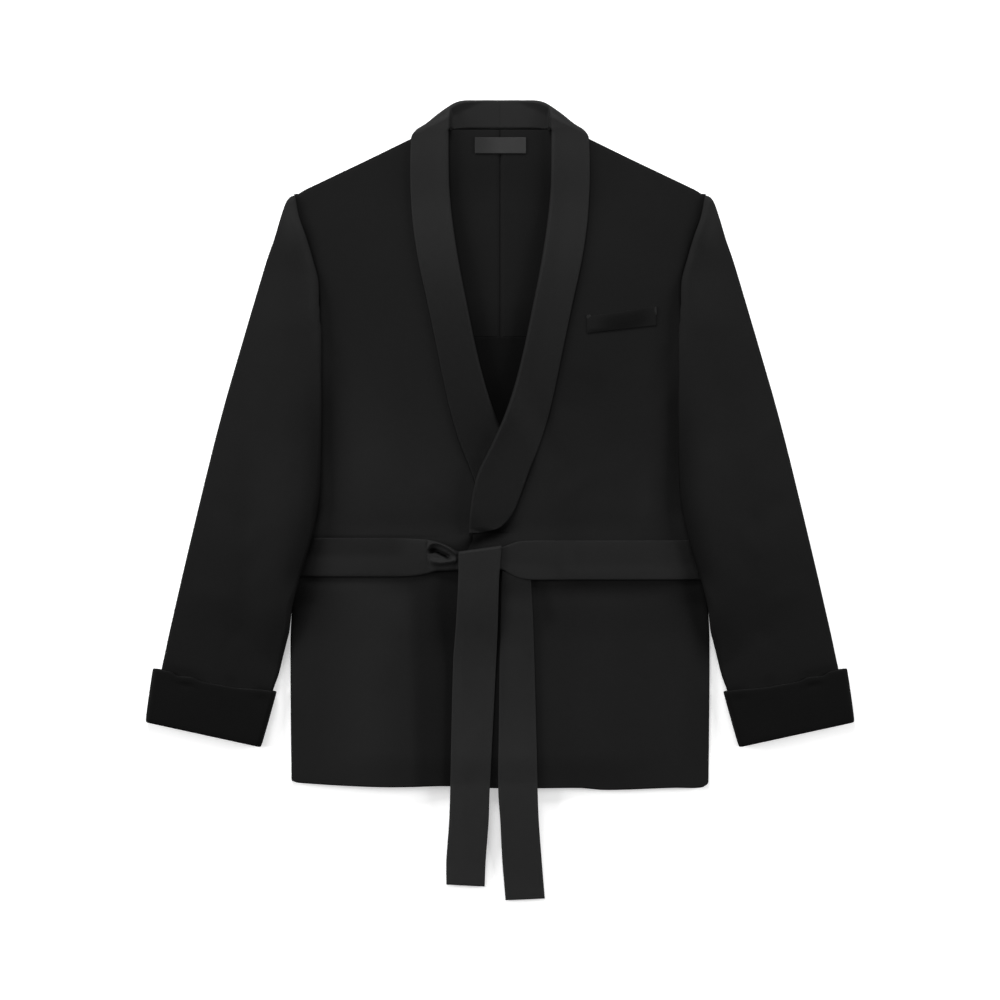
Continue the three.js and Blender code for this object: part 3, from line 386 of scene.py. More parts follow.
def turnedEnd(edge, inward, fold, top):
    # Turned end of each row: a half circle under the edge and a run below it, as far as turn says
    def place(start, way, distance):
        return start + way * np.asarray(distance)[..., None]

    def height(at):
        return (top(at[..., 0], at[..., 1]) - fold["floor"](at[..., 0], at[..., 1])) / 2

    radius = np.maximum(height(place(edge, inward, height(edge))), 0.5)
    full = place(edge, inward, radius)
    runWay, run = inward, fold["run"] + 0 * radius
    if "target" in fold:
        toTarget = fold["target"] - full
        run = np.where(fold["turn"] > 0, np.linalg.norm(toTarget, axis=1), run)
        runWay = toTarget / np.maximum(np.linalg.norm(toTarget, axis=1), 1e-6)[:, None]
    length = fold["turn"] * (math.pi * radius + run)
    centre = place(edge, inward, radius * np.sin(np.minimum(length / radius, math.pi / 2)))
    topZ = top(centre[:, 0], centre[:, 1])[:, None]
    arc = (math.pi * radius)[:, None]

    def at(distance):
        angle = np.clip(distance / radius[:, None], 0, math.pi)
        past = np.maximum(distance - arc, 0)
        spot = place(centre[:, None], inward[:, None], -radius[:, None] * np.sin(angle))
        spot = place(spot, runWay[:, None], past)
        under = fold["floor"](spot[..., 0], spot[..., 1])
        return np.concatenate([spot, np.where(
            past > 0, under, topZ - radius[:, None] * (1 - np.cos(angle)))[..., None]], axis=2)

    arcShare = (math.pi * radius / (math.pi * radius + run))[:, None]
    around = arcShare * np.linspace(0, 1, fold["arcSteps"] + 1)[1:]
    beyond = mix(arcShare, 1, np.linspace(0, 1, fold["runSteps"] + 1)[1:])
    return {"length": length, "centre": centre, "at": at, "steps": np.concatenate([around, beyond], axis=1)}


def foldedRows(start, end, top, startFold, endFold, middleSteps):
    # Rows across a piece: a turned start, the top and a turned end. An end with no turn keeps its
    # points on the top, close to the edge, and an end with no fold at all is cut there.
    way = (end - start) / np.linalg.norm(end - start, axis=1)[:, None]
    first = turnedEnd(start, way, startFold, top) if startFold else {"centre": start}
    second = turnedEnd(end, -way, endFold, top) if endFold else {"centre": end}
    flat = np.linalg.norm(second["centre"] - first["centre"], axis=1)
    spare = np.minimum(12, flat / 3)
    startSpare = spare * (1 - startFold["turn"]) if startFold else 0 * spare
    endSpare = spare * (1 - endFold["turn"]) if endFold else 0 * spare

    def onTop(distance):
        spot = first["centre"][:, None] + way[:, None] * distance[..., None]
        return np.concatenate([spot, top(spot[..., 0], spot[..., 1])[..., None]], axis=2)

    def turned(part, partSpare, toTop):
        distance = part["steps"] * (part["length"] + partSpare)[:, None] - partSpare[:, None]
        return np.where((distance > 0)[..., None], part["at"](distance), onTop(toTop(distance)))

    parts = [onTop(mix(startSpare[:, None], (flat - endSpare)[:, None], middleSteps[None, :]))]
    if startFold:
        parts.insert(0, turned(first, startSpare, lambda distance: -distance)[:, ::-1])
    if endFold:
        parts.append(turned(second, endSpare, lambda distance: flat[:, None] + distance))
    return np.concatenate(parts, axis=1)


def carry(piece, cloth):
    # Rides on the one body and takes its slot
    piece.data.materials.append(materials[cloth])
    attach(piece, "root")
    return piece


def declareSheet(piece, sheet):
    # Stands for the node of the same name, which it hides, and takes its cloth and rides on the one body
    node = piece.name.replace("cloth_", "")
    carry(piece, sheet["cloth"])
    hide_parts(node)
    return piece


def threads(name, rows):
    # Stitches as small closed pillows of thread. Each row has a middle point, the direction that it
    # runs in, its length and its width.
    u, v = np.meshgrid(np.linspace(-0.5, 0.5, 7), np.linspace(-0.5, 0.5, 5))
    base, faces, uv = wallShape(surface(u, v, 0 * u) * 10, 5.0, (5, 5, 5, 5))
    base = base / 10
    points = []
    for x, y, z, angle, length, width in rows:
        along, aside = base[:, 0] * length, base[:, 1] * width
        turnedX = along * math.cos(angle) - aside * math.sin(angle)
        turnedY = along * math.sin(angle) + aside * math.cos(angle)
        points.append(np.stack([x + turnedX, y + turnedY, z + base[:, 2] * width * 1.4], axis=1))
    shift = (np.arange(len(rows)) * len(base))[:, None, None]
    faces = (faces[None] + shift).reshape(-1, 4)
    piece = meshPiece(name, np.concatenate(points), faces, np.tile(uv, (len(rows), 1)))
    return carry(piece, "thread")


def sided(points, side):
    mirrored = points.copy()
    mirrored[..., 0] *= side
    return mirrored


def nameFor(side, word):
    return f"cloth_{word}_left" if side > 0 else f"cloth_{word}_right"


# Materials

class Shade:
    # A shader value: sums and products of it add Math nodes to its material
    def __init__(self, tree, socket=None):
        self.tree = tree
        self.socket = socket

    def node(self, kind, settings=None, inputs=None, output=0):
        # One node: its settings first, then the values or links of its sockets
        made = self.tree.nodes.new(kind)
        for key, value in (settings or {}).items():
            setattr(made, key, value)
        for key, value in (inputs or {}).items():
            if isinstance(value, Shade):
                self.tree.links.new(value.socket, made.inputs[key])
            else:
                made.inputs[key].default_value = value
        return Shade(self.tree, made.outputs[output] if made.outputs else None)

    def maths(self, operation, *values):
        return self.node("ShaderNodeMath", {"operation": operation}, dict(enumerate(values)))

    def __add__(self, other):
        return self.maths("ADD", self, other)

    def __sub__(self, other):
        return self.maths("SUBTRACT", self, other)

    def __rsub__(self, other):
        return self.maths("SUBTRACT", other, self)

    def __mul__(self, other):
        return self.maths("MULTIPLY", self, other)

    __radd__ = __add__
    __rmul__ = __mul__

    def sine(self):
        return self.maths("SINE", self)


def grey(level):
    return (level, level, level, 1)


# level: linear grey; shift: how far it drifts; yarn: its width in millimetres; rib and fluff: shares of
# the bump, which is in millimetres; fade: two places along the garment in millimetres and the factor
# of painted light and shade on the level there
evenFade = ((-400, 1), (400, 1))
grains = {"drift": (11.0, 3.0), "fleck": (420.0, 3.0), "fibre": (1300.0, 2.0)}  # scale and detail
wool = {"slot": "body_cloth", "shift": 0.0008, "rough": 0.95, "specular": 0.05, "yarn": 0.85, "rib": 0.35,
        "fluff": 0.75, "bump": 0.10}
satin = {"slot": "facing_cloth", "shift": 0.0008, "rough": 0.7, "specular": 0.12, "yarn": 0.75, "rib": 0.8,
         "fluff": 0.3, "bump": 0.08}
looks = {
    # The fades paint light and shade along the garment: the body darker towards the top, the sleeves and
    # lapels darker lower down, the belt's tails lighter towards their ends. The sleeve and lapel looks are
    # the wool and the satin again, a little darker, as painted shade.
    "bodyCloth": {**wool, "level": 0.0104, "fade": ((-80, 1.0), (300, 0.78))},
    "sleeveCloth": {**wool, "level": 0.0094, "fade": ((-230, 0.72), (80, 1))},
    "facingCloth": {**satin, "level": 0.0122, "fade": ((-420, 1.34), (-80, 0.86))},
    "lapelCloth": {**satin, "level": 0.0097, "fade": ((60, 0.38), (400, 1.11))},
    "velvetCloth": {"slot": "velvet", "level": 0.0050, "shift": 0.0004, "rough": 1.0, "specular": 0.03,
                    "sheen": 0.02, "yarn": 0.6, "rib": 0.1, "fluff": 1.0, "bump": 0.14},
    "yokeCloth": {"slot": "yoke_cloth", "level": 0.0071, "shift": 0.0008, "rough": 0.9, "specular": 0.06,
                  "yarn": 0.8, "rib": 0.3, "fluff": 0.6, "bump": 0.10},
    "liningCloth": {"slot": "lining_cloth", "level": 0.0023, "shift": 0.0002, "rough": 0.8,
                    "specular": 0.05, "yarn": 0.5, "rib": 0.6, "fluff": 0.15, "bump": 0.04},
    "labelCloth": {"slot": "label_cloth", "level": 0.0190, "shift": 0.0012, "rough": 0.6, "specular": 0.2,
                   "yarn": 0.5, "rib": 0.9, "fluff": 0.1, "bump": 0.05},
    "thread": {"level": 0.0135, "shift": 0.001, "rough": 0.7, "specular": 0.12, "yarn": 0.4, "rib": 0.8,
               "fluff": 0.2, "bump": 0.04},
}


def clothMaterial(name):
    # Twill or pile: the colour drifts slowly over the cloth, and ribs along the yarn and loose
    # fibres stand up from it as bump
    look = looks[name]
    material = bpy.data.materials.new(name)
    material.use_nodes = True
    tree = material.node_tree
    tree.nodes.clear()
    start = Shade(tree)
    place = start.node("ShaderNodeTexCoord", output="Object")
    along = start.node("ShaderNodeSeparateXYZ", inputs={"Vector": place}, output="Y")
    sheetUv = start.node("ShaderNodeUVMap", {"uv_map": "cloth"})
    u = start.node("ShaderNodeSeparateXYZ", inputs={"Vector": sheetUv}, output="X")
    v = start.node("ShaderNodeSeparateXYZ", inputs={"Vector": sheetUv}, output="Y")
    drift, fleck, fibre = (
        start.node("ShaderNodeTexNoise", inputs={"Vector": place, "Scale": scale, "Detail": detail})
        for scale, detail in grains.values()
    )
    turn = 2 * math.pi / (look["yarn"] * metre)
    rib = ((u + v) * turn + fleck * 1.6).sine() * 0.5 + (u * turn - v * (turn * 0.35)).sine() * 0.25
    tone = (drift - 0.5) * 1.3 + (fleck - 0.5) * 0.9 + (fibre - 0.5) * 0.5 + 0.5
    # fade: painted light and shade along the garment's length, from the object's y
    (lowY, lowFactor), (highY, highFactor) = look.get("fade", evenFade)
    # Painted light and shade from the mesh's attribute scales the colour
    nap = start.node("ShaderNodeAttribute", {"attribute_name": "nap"}, output="Fac")
    fade = start.node("ShaderNodeMapRange", {"interpolation_type": "SMOOTHSTEP"}, {
        "Value": along, "From Min": lowY * metre, "From Max": highY * metre,
        "To Min": lowFactor, "To Max": highFactor,
    })
    plain = start.node("ShaderNodeMix", {"data_type": "RGBA"}, {
        0: tone, 6: grey(look["level"] - look["shift"]), 7: grey(look["level"] + look["shift"]),
    }, output=2)
    colour = start.node("ShaderNodeVectorMath", {"operation": "SCALE"}, {
        "Vector": plain, "Scale": fade * (nap + 1.0),
    })
    height = rib * look["rib"] + fibre * look["fluff"] + fleck * look["fluff"]
    bump = start.node("ShaderNodeBump", inputs={
        "Height": height, "Distance": look["bump"] * metre, "Strength": 1.0,
    })
    shader = start.node("ShaderNodeBsdfPrincipled", inputs={
        "Base Color": colour, "Roughness": (fleck - 0.5) * 0.12 + look["rough"], "Normal": bump,
        "Specular IOR Level": look["specular"], "Sheen Weight": look.get("sheen", 0.0),
        "Sheen Roughness": 0.4,
    })
    start.node("ShaderNodeOutputMaterial", inputs={"Surface": shader})
    return material


materials = {name: clothMaterial(name) for name in looks}
print("materials made:", len(materials))


# Body: back halves and fronts

bodyCut = {
    "step": 4.0,
    "lowest": -335,  # level of the lowest row, which follows the hem line
    "evenFrom": -285,  # from here up the rows are level
    "neckFrom": 385,  # and from here up the back's rows gather at the neckline and the shoulders
    "closing": 7,  # reach of the rounding beside a seam
    "back": {"cloth": "bodyCloth", "wall": wall["back"], "rim": (2, 2, 1, 2), "mapFlat": True,
             "flat": (0.24, 0.79), "area": 0.172, "held": "laid"},
    "front": {"cloth": "bodyCloth", "wall": wall["front"], "rim": (2.2, 2.2, 2.2, 2.2), "mapFlat": True,
              "flat": (0.28, 0.79), "area": 0.168, "held": "laid"},
}


def bodyRows():
    # Levels at the middle and at the armhole, from below the hem up
    middle, atSide = (np.array([bodyCut["lowest"]] + bodyLevels[name], float) for name in ("middle", "side"))
    steps = stripSteps(middle[-1] - middle[0], bodyCut["step"], 2.5, 2.5) + middle[0]
    steps = np.sort(np.concatenate([steps, np.arange(-46.3, -35, 1.0)]))  # close rows over the belt's edge
    return steps, np.interp(steps, middle, atSide)


def onHem(x, level, setback=0.0):
    # Lowest rows follow the hem line, and join the level rows some way above it
    lowest, joinY = bodyCut["lowest"], bodyCut["evenFrom"]
    share = np.clip((level - lowest) / (joinY - lowest), 0, 1)
    return np.where(level < joinY, mix(hemY(x) + setback, joinY, share), level)


def toSeam(x, y):
    # Distance to the shoulder seam or, below the armpit, to the side seam
    toSide = sideX(y) + 400 * (y > armpitY) - np.abs(x)
    return np.minimum(toSide, (shoulderLine(x) - y) * 0.9)


def backTop(x, y):
    rise = 1.2 * seamDip(toSeam(x, y), bodyCut["closing"])
    return backFloor(x, y) + wall["back"] + rise


def backHalf(side):
    middle, sideLevel = bodyRows()
    edge = np.where(sideLevel < armpitY, sideX(sideLevel) - 0.5, curve(backArmhole, "y", "x", sideLevel))
    x = mix(0, edge[:, None], stripShares(240, bodyCut["step"], 1.2, 2.0)[None, :])
    slope = np.clip((x - neck["pointX"]) / (edge[:, None] - neck["pointX"]), 0, 1)
    level = mix(middle[:, None], sideLevel[:, None], slope)
    neckline = neck["y"] + np.maximum(x - neck["halfWidth"], 0)
    top = np.minimum(neckline, shoulderLine(x))
    start = bodyCut["neckFrom"]
    share = np.clip((level - start) / (middle[-1] - start), 0, 1)
    gathered = mix(np.minimum(level, mix(start, shoulder["tipY"], slope)), top, share)
    level = np.minimum(np.where(middle[:, None] > start, gathered, level), top)
    y = onHem(side * x, level, 1.5)
    return clothPiece(nameFor(side, "back"), surface(side * x, y, backTop(side * x, y)), bodyCut["back"])


def frontInnerX(y):
    return mix(-frontEdgeX + 0 * y, rollX(y) + rollSetback, ramp(y, -62, -42))


def frontSurface(side, x, y):
    top = upperTop(x, y) if side > 0 else lowerTop(x, y)
    near = np.where(np.abs(x) < 96, bodyCut["closing"], toSeam(x, y))
    return top - 1.4 * seamDip(near, bodyCut["closing"])


def front(side):
    middle, sideLevel = bodyRows()
    edge = np.where(sideLevel < armpitY, sideX(sideLevel), curve(frontArmhole, "y", "x", sideLevel))
    shares = stripShares(275, bodyCut["step"], 2.2, 2.2)[None, :]
    x = side * mix(frontInnerX(middle)[:, None], edge[:, None], shares)
    level = mix(middle[:, None], sideLevel[:, None], shares)
    level = level - 2.2 * ramp(np.abs(x), 222, 238) * ramp(level, 325, 352)
    y = onHem(x, level)
    points = surface(x, y, frontSurface(side, x, y))
    return clothPiece(nameFor(side, "front"), points, bodyCut["front"], frontPaintedShading(x, y))


for side in (1, -1):
    backHalf(side)
    front(side)
print("body laid")


# Shawl collar with its lapels

collarForm = {
    "rows": 300,
    "noseRun": 0.6,
    "roll": 1.8,
    "backRise": 3.4,
    "sheet": {"cloth": "lapelCloth", "wall": wall["collar"], "rim": (1.6, 0.04, 1.2, 1.8),
              "flat": (0.075, 0.60), "area": 0.033, "held": "folded"},
}


def collarHalf(side):
    last = len(collarTable["nose"]) - 1
    places = np.concatenate([np.linspace(0, last - 0.02, collarForm["rows"]), [last - 0.002, last]])
    placed = {name: alongRows(collarTable, name, places) for name in collarTable}
    inner, outer, fallEdge = (np.stack([placed[name + "X"], placed[name + "Y"]], axis=1)
                              for name in ("inner", "outer", "fall"))
    frontTop = upperTop if side > 0 else lowerTop
    noseFloor = upperFloor if side > 0 else frontFloor

    def top(x, y):
        worldX = side * x
        pastShoulder = ramp(y - shoulderLine(x), 1, 16)
        # The lapel ends in a step beside the back collar, and the back collar climbs to its top fold
        onFront = ramp(x, 55.4, 58.2) * (1 - pastShoulder)
        behind = ramp(y, 405, 425) * (1 - onFront)
        roll = collarForm["roll"] * hump(x - rollX(y), 3, 10) * ramp(y, -20, 120) * (1 - behind)
        rise = collarForm["backRise"] * ramp(y, 428, 455) * pastShoulder
        level = mix(frontTop(worldX, y) + 1, wall["collar"] + lay + 0 * x, behind)
        return level + wall["collar"] + roll + rise

    nose = {"turn": np.clip(placed["nose"], 0, 1), "run": collarForm["noseRun"], "arcSteps": 8, "runSteps": 1,
            "floor": lambda x, y: noseFloor(side * x, y)}
    fall = {"turn": np.clip(placed["turn"], 0, 1), "run": 12.0, "arcSteps": 8, "runSteps": 8,
            "floor": lambda x, y: 0 * x, "target": fallEdge}
    points = foldedRows(inner, outer, top, nose, fall, np.linspace(0, 1, 34) ** 1.3)
    points = sided(points, side)
    x, y = points[..., 0], points[..., 1]
    # The right half turns from the light, and the left half's rolled edge lies in the neck's shade
    nap = -0.29 * (side < 0) * ramp(y, 330, 180) - 0.07 * ramp(y, 415, 430)
    nap = nap - 0.4 * (side > 0) * ramp(x - rollX(y), 4.5, 0.5) * ramp(y, 400, 360)
    return clothPiece(nameFor(side, "collar"), points, collarForm["sheet"], nap)


for side in (1, -1):
    collarHalf(side)
print("collar rolled")


# Sleeves

sleeveForm = {
    "rows": 210,
    "height": 6.6,
    "overBody": 7.4,  # how high it lies where it rests on the body
    "overBelt": 7.2,  # and how much higher over the belt's end
    "overCuff": wall["cuff"] + 0.4,
    "fold": 25.0,
    "crown": 2.4,
    "upper": {"cloth": "sleeveCloth", "wall": wall["sleeve"], "rim": (2, 2, 1.5, 1.5),
              "flat": (0.24, 0.66), "area": 0.093, "held": "folded"},
    "under": {"cloth": "sleeveCloth", "wall": wall["sleeve"], "rim": (1.5, 1.5, 1.5, 1.5),
              "flat": (0.12, 0.58), "area": 0.043, "held": "folded"},
}
sleeveInner = {
    "y": [-272, -219, -200, -183, -160, -151, -140, -121, -91, -45, 0, 58, 196],
    "x": [276, 261, 254.4, 250.2, 244.2, 241.7, 240.2, 237.6, 230, 216.2, 207, 204.9, 204.6],
}
sleeveOuter = {
    "y": [-244, -197, -186, -149, -57, 58, 116, 173, 231, 277, 300, 323, 339, 346, 350.6],
    "x": [398, 389.6, 387.4, 379.7, 358.5, 330.7, 315.4, 298.9, 281.8, 268, 260, 253.2, 247.8, 244.3, 240.2],
}
sleeveTable = {
    "inner": [351, 331, 307, 279, 252, 226, 209, 194, 164, 130, 108, 96, 58, 20, -6, -22, -38, -62, -86,
              -104, -124, -160, -197, -219, -271],
    "outer": [350.4, 330, 305, 278, 252, 226, 209, 194, 165, 132, 110, 99, 63, 27, 3, -11, -25, -47, -69,
              -85, -104, -139, -175, -196, -243.5],
    "foldIn": [0, 0, 0, 0, 0, 0, 0.1, 0.3, 0.41, 0.67, 0.92] + [1] * 14,
    "foldOut": [0.25] + [1] * 24,
    "wide": [4, 12, 28] + [22] * 22,
}
sleeveCreases = [
    (262, 300, 246, 226, 0.7, 14), (300, 210, 268, 130, 0.8, 16), (246, 150, 268, 60, -0.7, 12),
    (318, 96, 276, 30, 0.8, 14), (330, 10, 284, -40, -0.9, 13), (268, -20, 300, -70, 0.8, 12),
    (352, -96, 306, -122, 0.9, 12), (290, -140, 322, -176, -0.7, 10), (236, 60, 262, 10, 0.6, 12),
    (330, -150, 290, -190, 0.6, 9), (262, -66, 286, -110, 0.6, 10),
]
# Painted light and shade on the sleeves, in rows like the creases: a painted highlight on the head's roll and
# painted shade above the cuffs
sleevePaintedShading = [
    (252, 404, 236, 292, 0.72, 16), (234, 336, 214, 262, 0.22, 9), (222, 296, 213, 240, 0.16, 8),
    (213, 244, 209, 170, 0.12, 7), (300, 60, 330, -60, 0.05, 30), (388, -190, 338, -203, -0.24, 5),
    (318, -200, 300, -210, -0.14, 5), (284, -214, 256, -219, -0.30, 4),
]


def sleeveInnerX(y):
    # The folded edge below, and above it the armhole seam, which the sleeve just covers
    return mix(curve(sleeveInner, "y", "x", y), curve(frontArmhole, "y", "x", y) - 1.4, ramp(y, 190, 226))


def alongSleeve(x, y):
    return y - 0.17 * ramp(y, 150, -150) * (x - 250)


def sleeveFloor(x, y):
    onBody = ramp(x, 290, 246) * ramp(y, -172, -128)
    rest = (sleeveForm["overBody"] + sleeveForm["overBelt"] * waistBand(y)) * onBody
    return rest * ramp(y, 134, 100) + sleeveForm["overCuff"] * ramp(alongSleeve(x, y), -198, -217)


def foldFloor(x, y):
    return np.maximum(sleeveFloor(x, y), sleeveForm["overBody"] * ramp(y, 216, 200) * ramp(y, -172, -128))


def sleeveTop(x, y):
    # The top spans the steps that lie below it: it climbs onto the body and over the belt's end in
    # long slopes
    onBody = ramp(x, 296, 240) * ramp(y, -232, -122)
    overBelt = ramp(y, -196, -96) * ramp(y, 84, -30)
    lift = (sleeveForm["overBody"] * ramp(y, 270, 196) + sleeveForm["overBelt"] * overBelt) * onBody
    hemLift = sleeveForm["overCuff"] * ramp(alongSleeve(x, y), -150, -217)
    level = sleeveForm["height"] + np.maximum(lift, hemLift)
    span = curve(sleeveOuter, "y", "x", y) - sleeveInnerX(y)
    fromSeam = x - sleeveInnerX(y)
    share = np.clip(fromSeam / np.maximum(span, 1), 0, 1)
    crown = sleeveForm["crown"] * np.sin(math.pi * share) * ramp(alongSleeve(x, y), -200, -120)
    # At the armhole the head dips to the seam and stands in a soft roll just outside it
    roll = 3.0 * hump(fromSeam, 5.5, 7) - 2.4 * seamDip(fromSeam, 3)
    form = crown * ramp(y, 340, 240) + creases(sleeveCreases, x, y) * ramp(y, -190, -160)
    return level + form + roll * ramp(y, 190, 240) * ramp(y, 353, 343)


def sleeveRows():
    places = np.linspace(0, len(sleeveTable["inner"]) - 1, sleeveForm["rows"])
    placed = {name: alongRows(sleeveTable, name, places) for name in sleeveTable}
    placed["innerX"] = sleeveInnerX(placed["inner"])
    placed["outerX"] = curve(sleeveOuter, "y", "x", placed["outer"])
    return placed


def upperSleeve(side):
    placed = sleeveRows()
    inner, outer = (np.stack([placed[name + "X"], placed[name]], axis=1) for name in ("inner", "outer"))
    underHeight = sleeveForm["height"] / 2
    innerFold = {"turn": np.clip(placed["foldIn"], 0, 1), "run": sleeveForm["fold"] - underHeight,
                 "arcSteps": 10, "runSteps": 6, "floor": foldFloor}
    outerFold = {"turn": np.clip(placed["foldOut"], 0, 1), "run": np.maximum(placed["wide"] - underHeight, 1),
                 "arcSteps": 10, "runSteps": 6, "floor": sleeveFloor}
    points = foldedRows(inner, outer, sleeveTop, innerFold, outerFold, stripShares(110, 4, 2, 2))
    x, y = points[..., 0], points[..., 1]
    # Painted shade along the folded edge beside the waist, where it rolls down into a dark valley
    valleyShade = ramp(y, 190, 20) * ramp(y, -112, -76) * hump(x - sleeveInnerX(y), 0, 19)
    nap = creases(sleevePaintedShading, x, y) - 0.52 * valleyShade
    return clothPiece(nameFor(side, "upper_sleeve"), sided(points, side), sleeveForm["upper"], nap)


def underSleeve(side):
    placed = sleeveRows()
    keep = placed["inner"] < 303
    innerY, outerY, innerX, outerX, wide = (placed[name][keep] for name in (
        "inner", "outer", "innerX", "outerX", "wide"))
    armhole = np.where(innerY > 160, curve(backArmhole, "y", "x", innerY),
                       curve(frontArmhole, "y", "x", innerY))
    seamX = np.where(innerY > armpitY, armhole + 1, innerX + sleeveForm["fold"] + seam)
    farX = np.maximum(outerX - wide - seam, seamX + 5)
    x = mix(seamX[:, None], farX[:, None], stripShares(80, 5, 1.5, 1.5)[None, :])
    along = (x - innerX[:, None]) / (outerX - innerX)[:, None]
    y = mix(innerY[:, None], outerY[:, None], along)
    points = sided(surface(x, y, sleeveFloor(x, y) + wall["sleeve"]), side)
    return clothPiece(nameFor(side, "under_sleeve"), points, sleeveForm["under"])


for side in (1, -1):
    upperSleeve(side)
    underSleeve(side)
print("sleeves folded")


# Turned-back cuffs

cuffForm = {
    "top": {"inner": (256.4, -219.5), "outer": (399.8, -196)},
    "hem": {"inner": (274.4, -283.4), "outer": (407.5, -254.4)},
    "height": 12.2,
    "steps": (60, 16),  # along its flat sides and round each folded edge
    # share of the width, and how far the top edge rises there
    "waveAt": [0, 0.1, 0.228, 0.317, 0.45, 0.6, 0.673, 0.797, 0.847, 0.93, 1],
    "wave": [0, -0.4, -2.0, -3.0, -2.8, -2.0, 0.6, -0.2, 2.8, 3.4, 3.2],
    # rings from the top edge down and up again inside: how far down, and how far in from the outside
    "down": [0.03, 0, 0.012, 0.035, 0.06, 0.09, 0.12, 0.16, 0.2, 0.26, 0.34, 0.42, 0.5, 0.6, 0.7, 0.8, 0.88,
             0.93, 0.975, 0.997, 1, 0.997, 0.985, 0.94, 0.9, 0.88, 0.885, 0.86, 0.4, 0.05],
    "inset": [1.2, 0.65, 0.18, 0.04, 0, -0.03, -0.05, -0.08, -0.1, -0.12, -0.16, -0.18, -0.2, -0.2, -0.18,
              -0.14, -0.06, 0, 0.35, 0.9, 1.7, 2.7, 3.7, 4.6, 4.8, 4.4, 3.0, 2.4, 2.4, 2.1],
    "sheet": {"cloth": "velvetCloth", "flat": (0.29, 0.06), "area": None, "held": "folded"},
}


def cuffRing(down, inset):
    # One flattened ring, and its painted light and shade: painted shade in its dents and a painted highlight
    # along its top edge
    inner, outer = (mix(np.array(cuffForm["top"][edge]), np.array(cuffForm["hem"][edge]), down)
                    for edge in ("inner", "outer"))
    width = np.linalg.norm(outer - inner)
    way = (outer - inner) / width
    half = cuffForm["height"] / 2 - inset
    start, end = inner + way * (inset + half), outer - way * (inset + half)
    flatSteps, roundSteps = cuffForm["steps"]
    shares = np.linspace(0, 1, flatSteps, endpoint=False)[:, None]
    angles = np.linspace(0, math.pi, roundSteps, endpoint=False)[:, None]
    sink = -0.35 * np.sin(shares[:, 0] * math.pi * 2.2) * math.sin(math.pi * down) ** 2
    ring = np.concatenate([
        np.concatenate([mix(start, end, shares), half + sink[:, None]], axis=1),
        np.concatenate([end + way * half * np.sin(angles), half * np.cos(angles)], axis=1),
        np.concatenate([mix(end, start, shares), -half + 0 * shares], axis=1),
        np.concatenate([start - way * half * np.sin(angles), -half * np.cos(angles)], axis=1),
    ])
    across = np.clip(((ring[:, :2] - inner) @ way) / width, 0, 1)
    upward = np.array(cuffForm["top"]["inner"]) - np.array(cuffForm["hem"]["inner"])
    lift = curve(cuffForm, "waveAt", "wave", across) * (1 - down) ** 2
    ring[:, :2] += lift[:, None] * upward / np.linalg.norm(upward)
    dents = hump(across, 0.71, 0.07) * hump(down, 0.14, 0.035)
    dents = (dents + 0.5 * hump(across, 0.1, 0.06) * hump(down, 0.14, 0.06)) * (ring[:, 2] > 0)
    ring[:, 2] -= 0.9 * dents
    return ring, -0.35 * dents + 0.12 * hump(down, 0.02, 0.03)


def cuff(side):
    # A flattened ring carried down the sleeve's end: its wall goes down outside, turns in at the hem
    # and comes back up inside
    made = [cuffRing(down, inset) for down, inset in zip(cuffForm["down"], cuffForm["inset"])]
    rings, ringPaintedShading = (np.array(part) for part in zip(*made))
    rings[..., 2] += cuffForm["height"] / 2
    index = np.arange(ringPaintedShading.size).reshape(ringPaintedShading.shape)
    nextRing, nextPoint = np.roll(index, -1, axis=0), np.roll(index, -1, axis=1)
    corners = (index, nextPoint, np.roll(nextRing, -1, axis=1), nextRing)
    if side > 0:
        corners = corners[::-1]
    faces = np.stack(corners, axis=2).reshape(-1, 4)
    turnLength = np.cumsum(np.linalg.norm(np.diff(rings, axis=1, prepend=rings[:, -1:]), axis=2), axis=1)
    downLength = np.cumsum(np.linalg.norm(np.diff(rings, axis=0, prepend=rings[-1:]), axis=2), axis=0)
    uv = np.stack([turnLength, downLength], axis=2).reshape(-1, 2)
    piece = meshPiece(nameFor(side, "cuff"), sided(rings, side).reshape(-1, 3), faces, uv, ringPaintedShading.ravel())
    return declareSheet(piece, cuffForm["sheet"])


for side in (1, -1):
    cuff(side)
print("cuffs turned back")


# Linings and label in the neck

liningForm = {
    "topY": 426,
    "yokeHemY": 188,
    "lowestY": 66,
    "tuck": 14,  # how far it runs on under the lapels
    "gap": 0.4,  # below it, and between it and the label
    "yoke": {"cloth": "yokeCloth", "wall": wall["lining"], "rim": (1, 1, 0.8, 0.8), "mapFlat": True,
             "flat": (0.075, 0.24), "area": 0.0145, "held": "laid"},
    "lower": {"cloth": "liningCloth", "wall": wall["lining"], "rim": (1, 1, 0.8, 0.8), "mapFlat": True,
              "flat": (0.085, 0.125), "area": 0.0072, "held": "laid"},
}


def liningFloor(x, y, seamDepth=1.3):
    # Soft upright folds in the lining, none at its edges, and a dip along the seam in its middle
    folds = 0.35 * (1 + np.sin(x / 9.5 + 1.2)) * ramp(y, 392, 330)
    dip = seamDepth * hump(x, 0, 2.2) * (y > liningForm["yokeHemY"])
    return backFloor(x, y) + wall["back"] + liningForm["gap"] + folds + 1.3 * ramp(y, 60, 90) - dip


def liningHalfWidth(y):
    return np.maximum(np.abs(rollX(np.maximum(y, 84))), 8) + liningForm["tuck"]


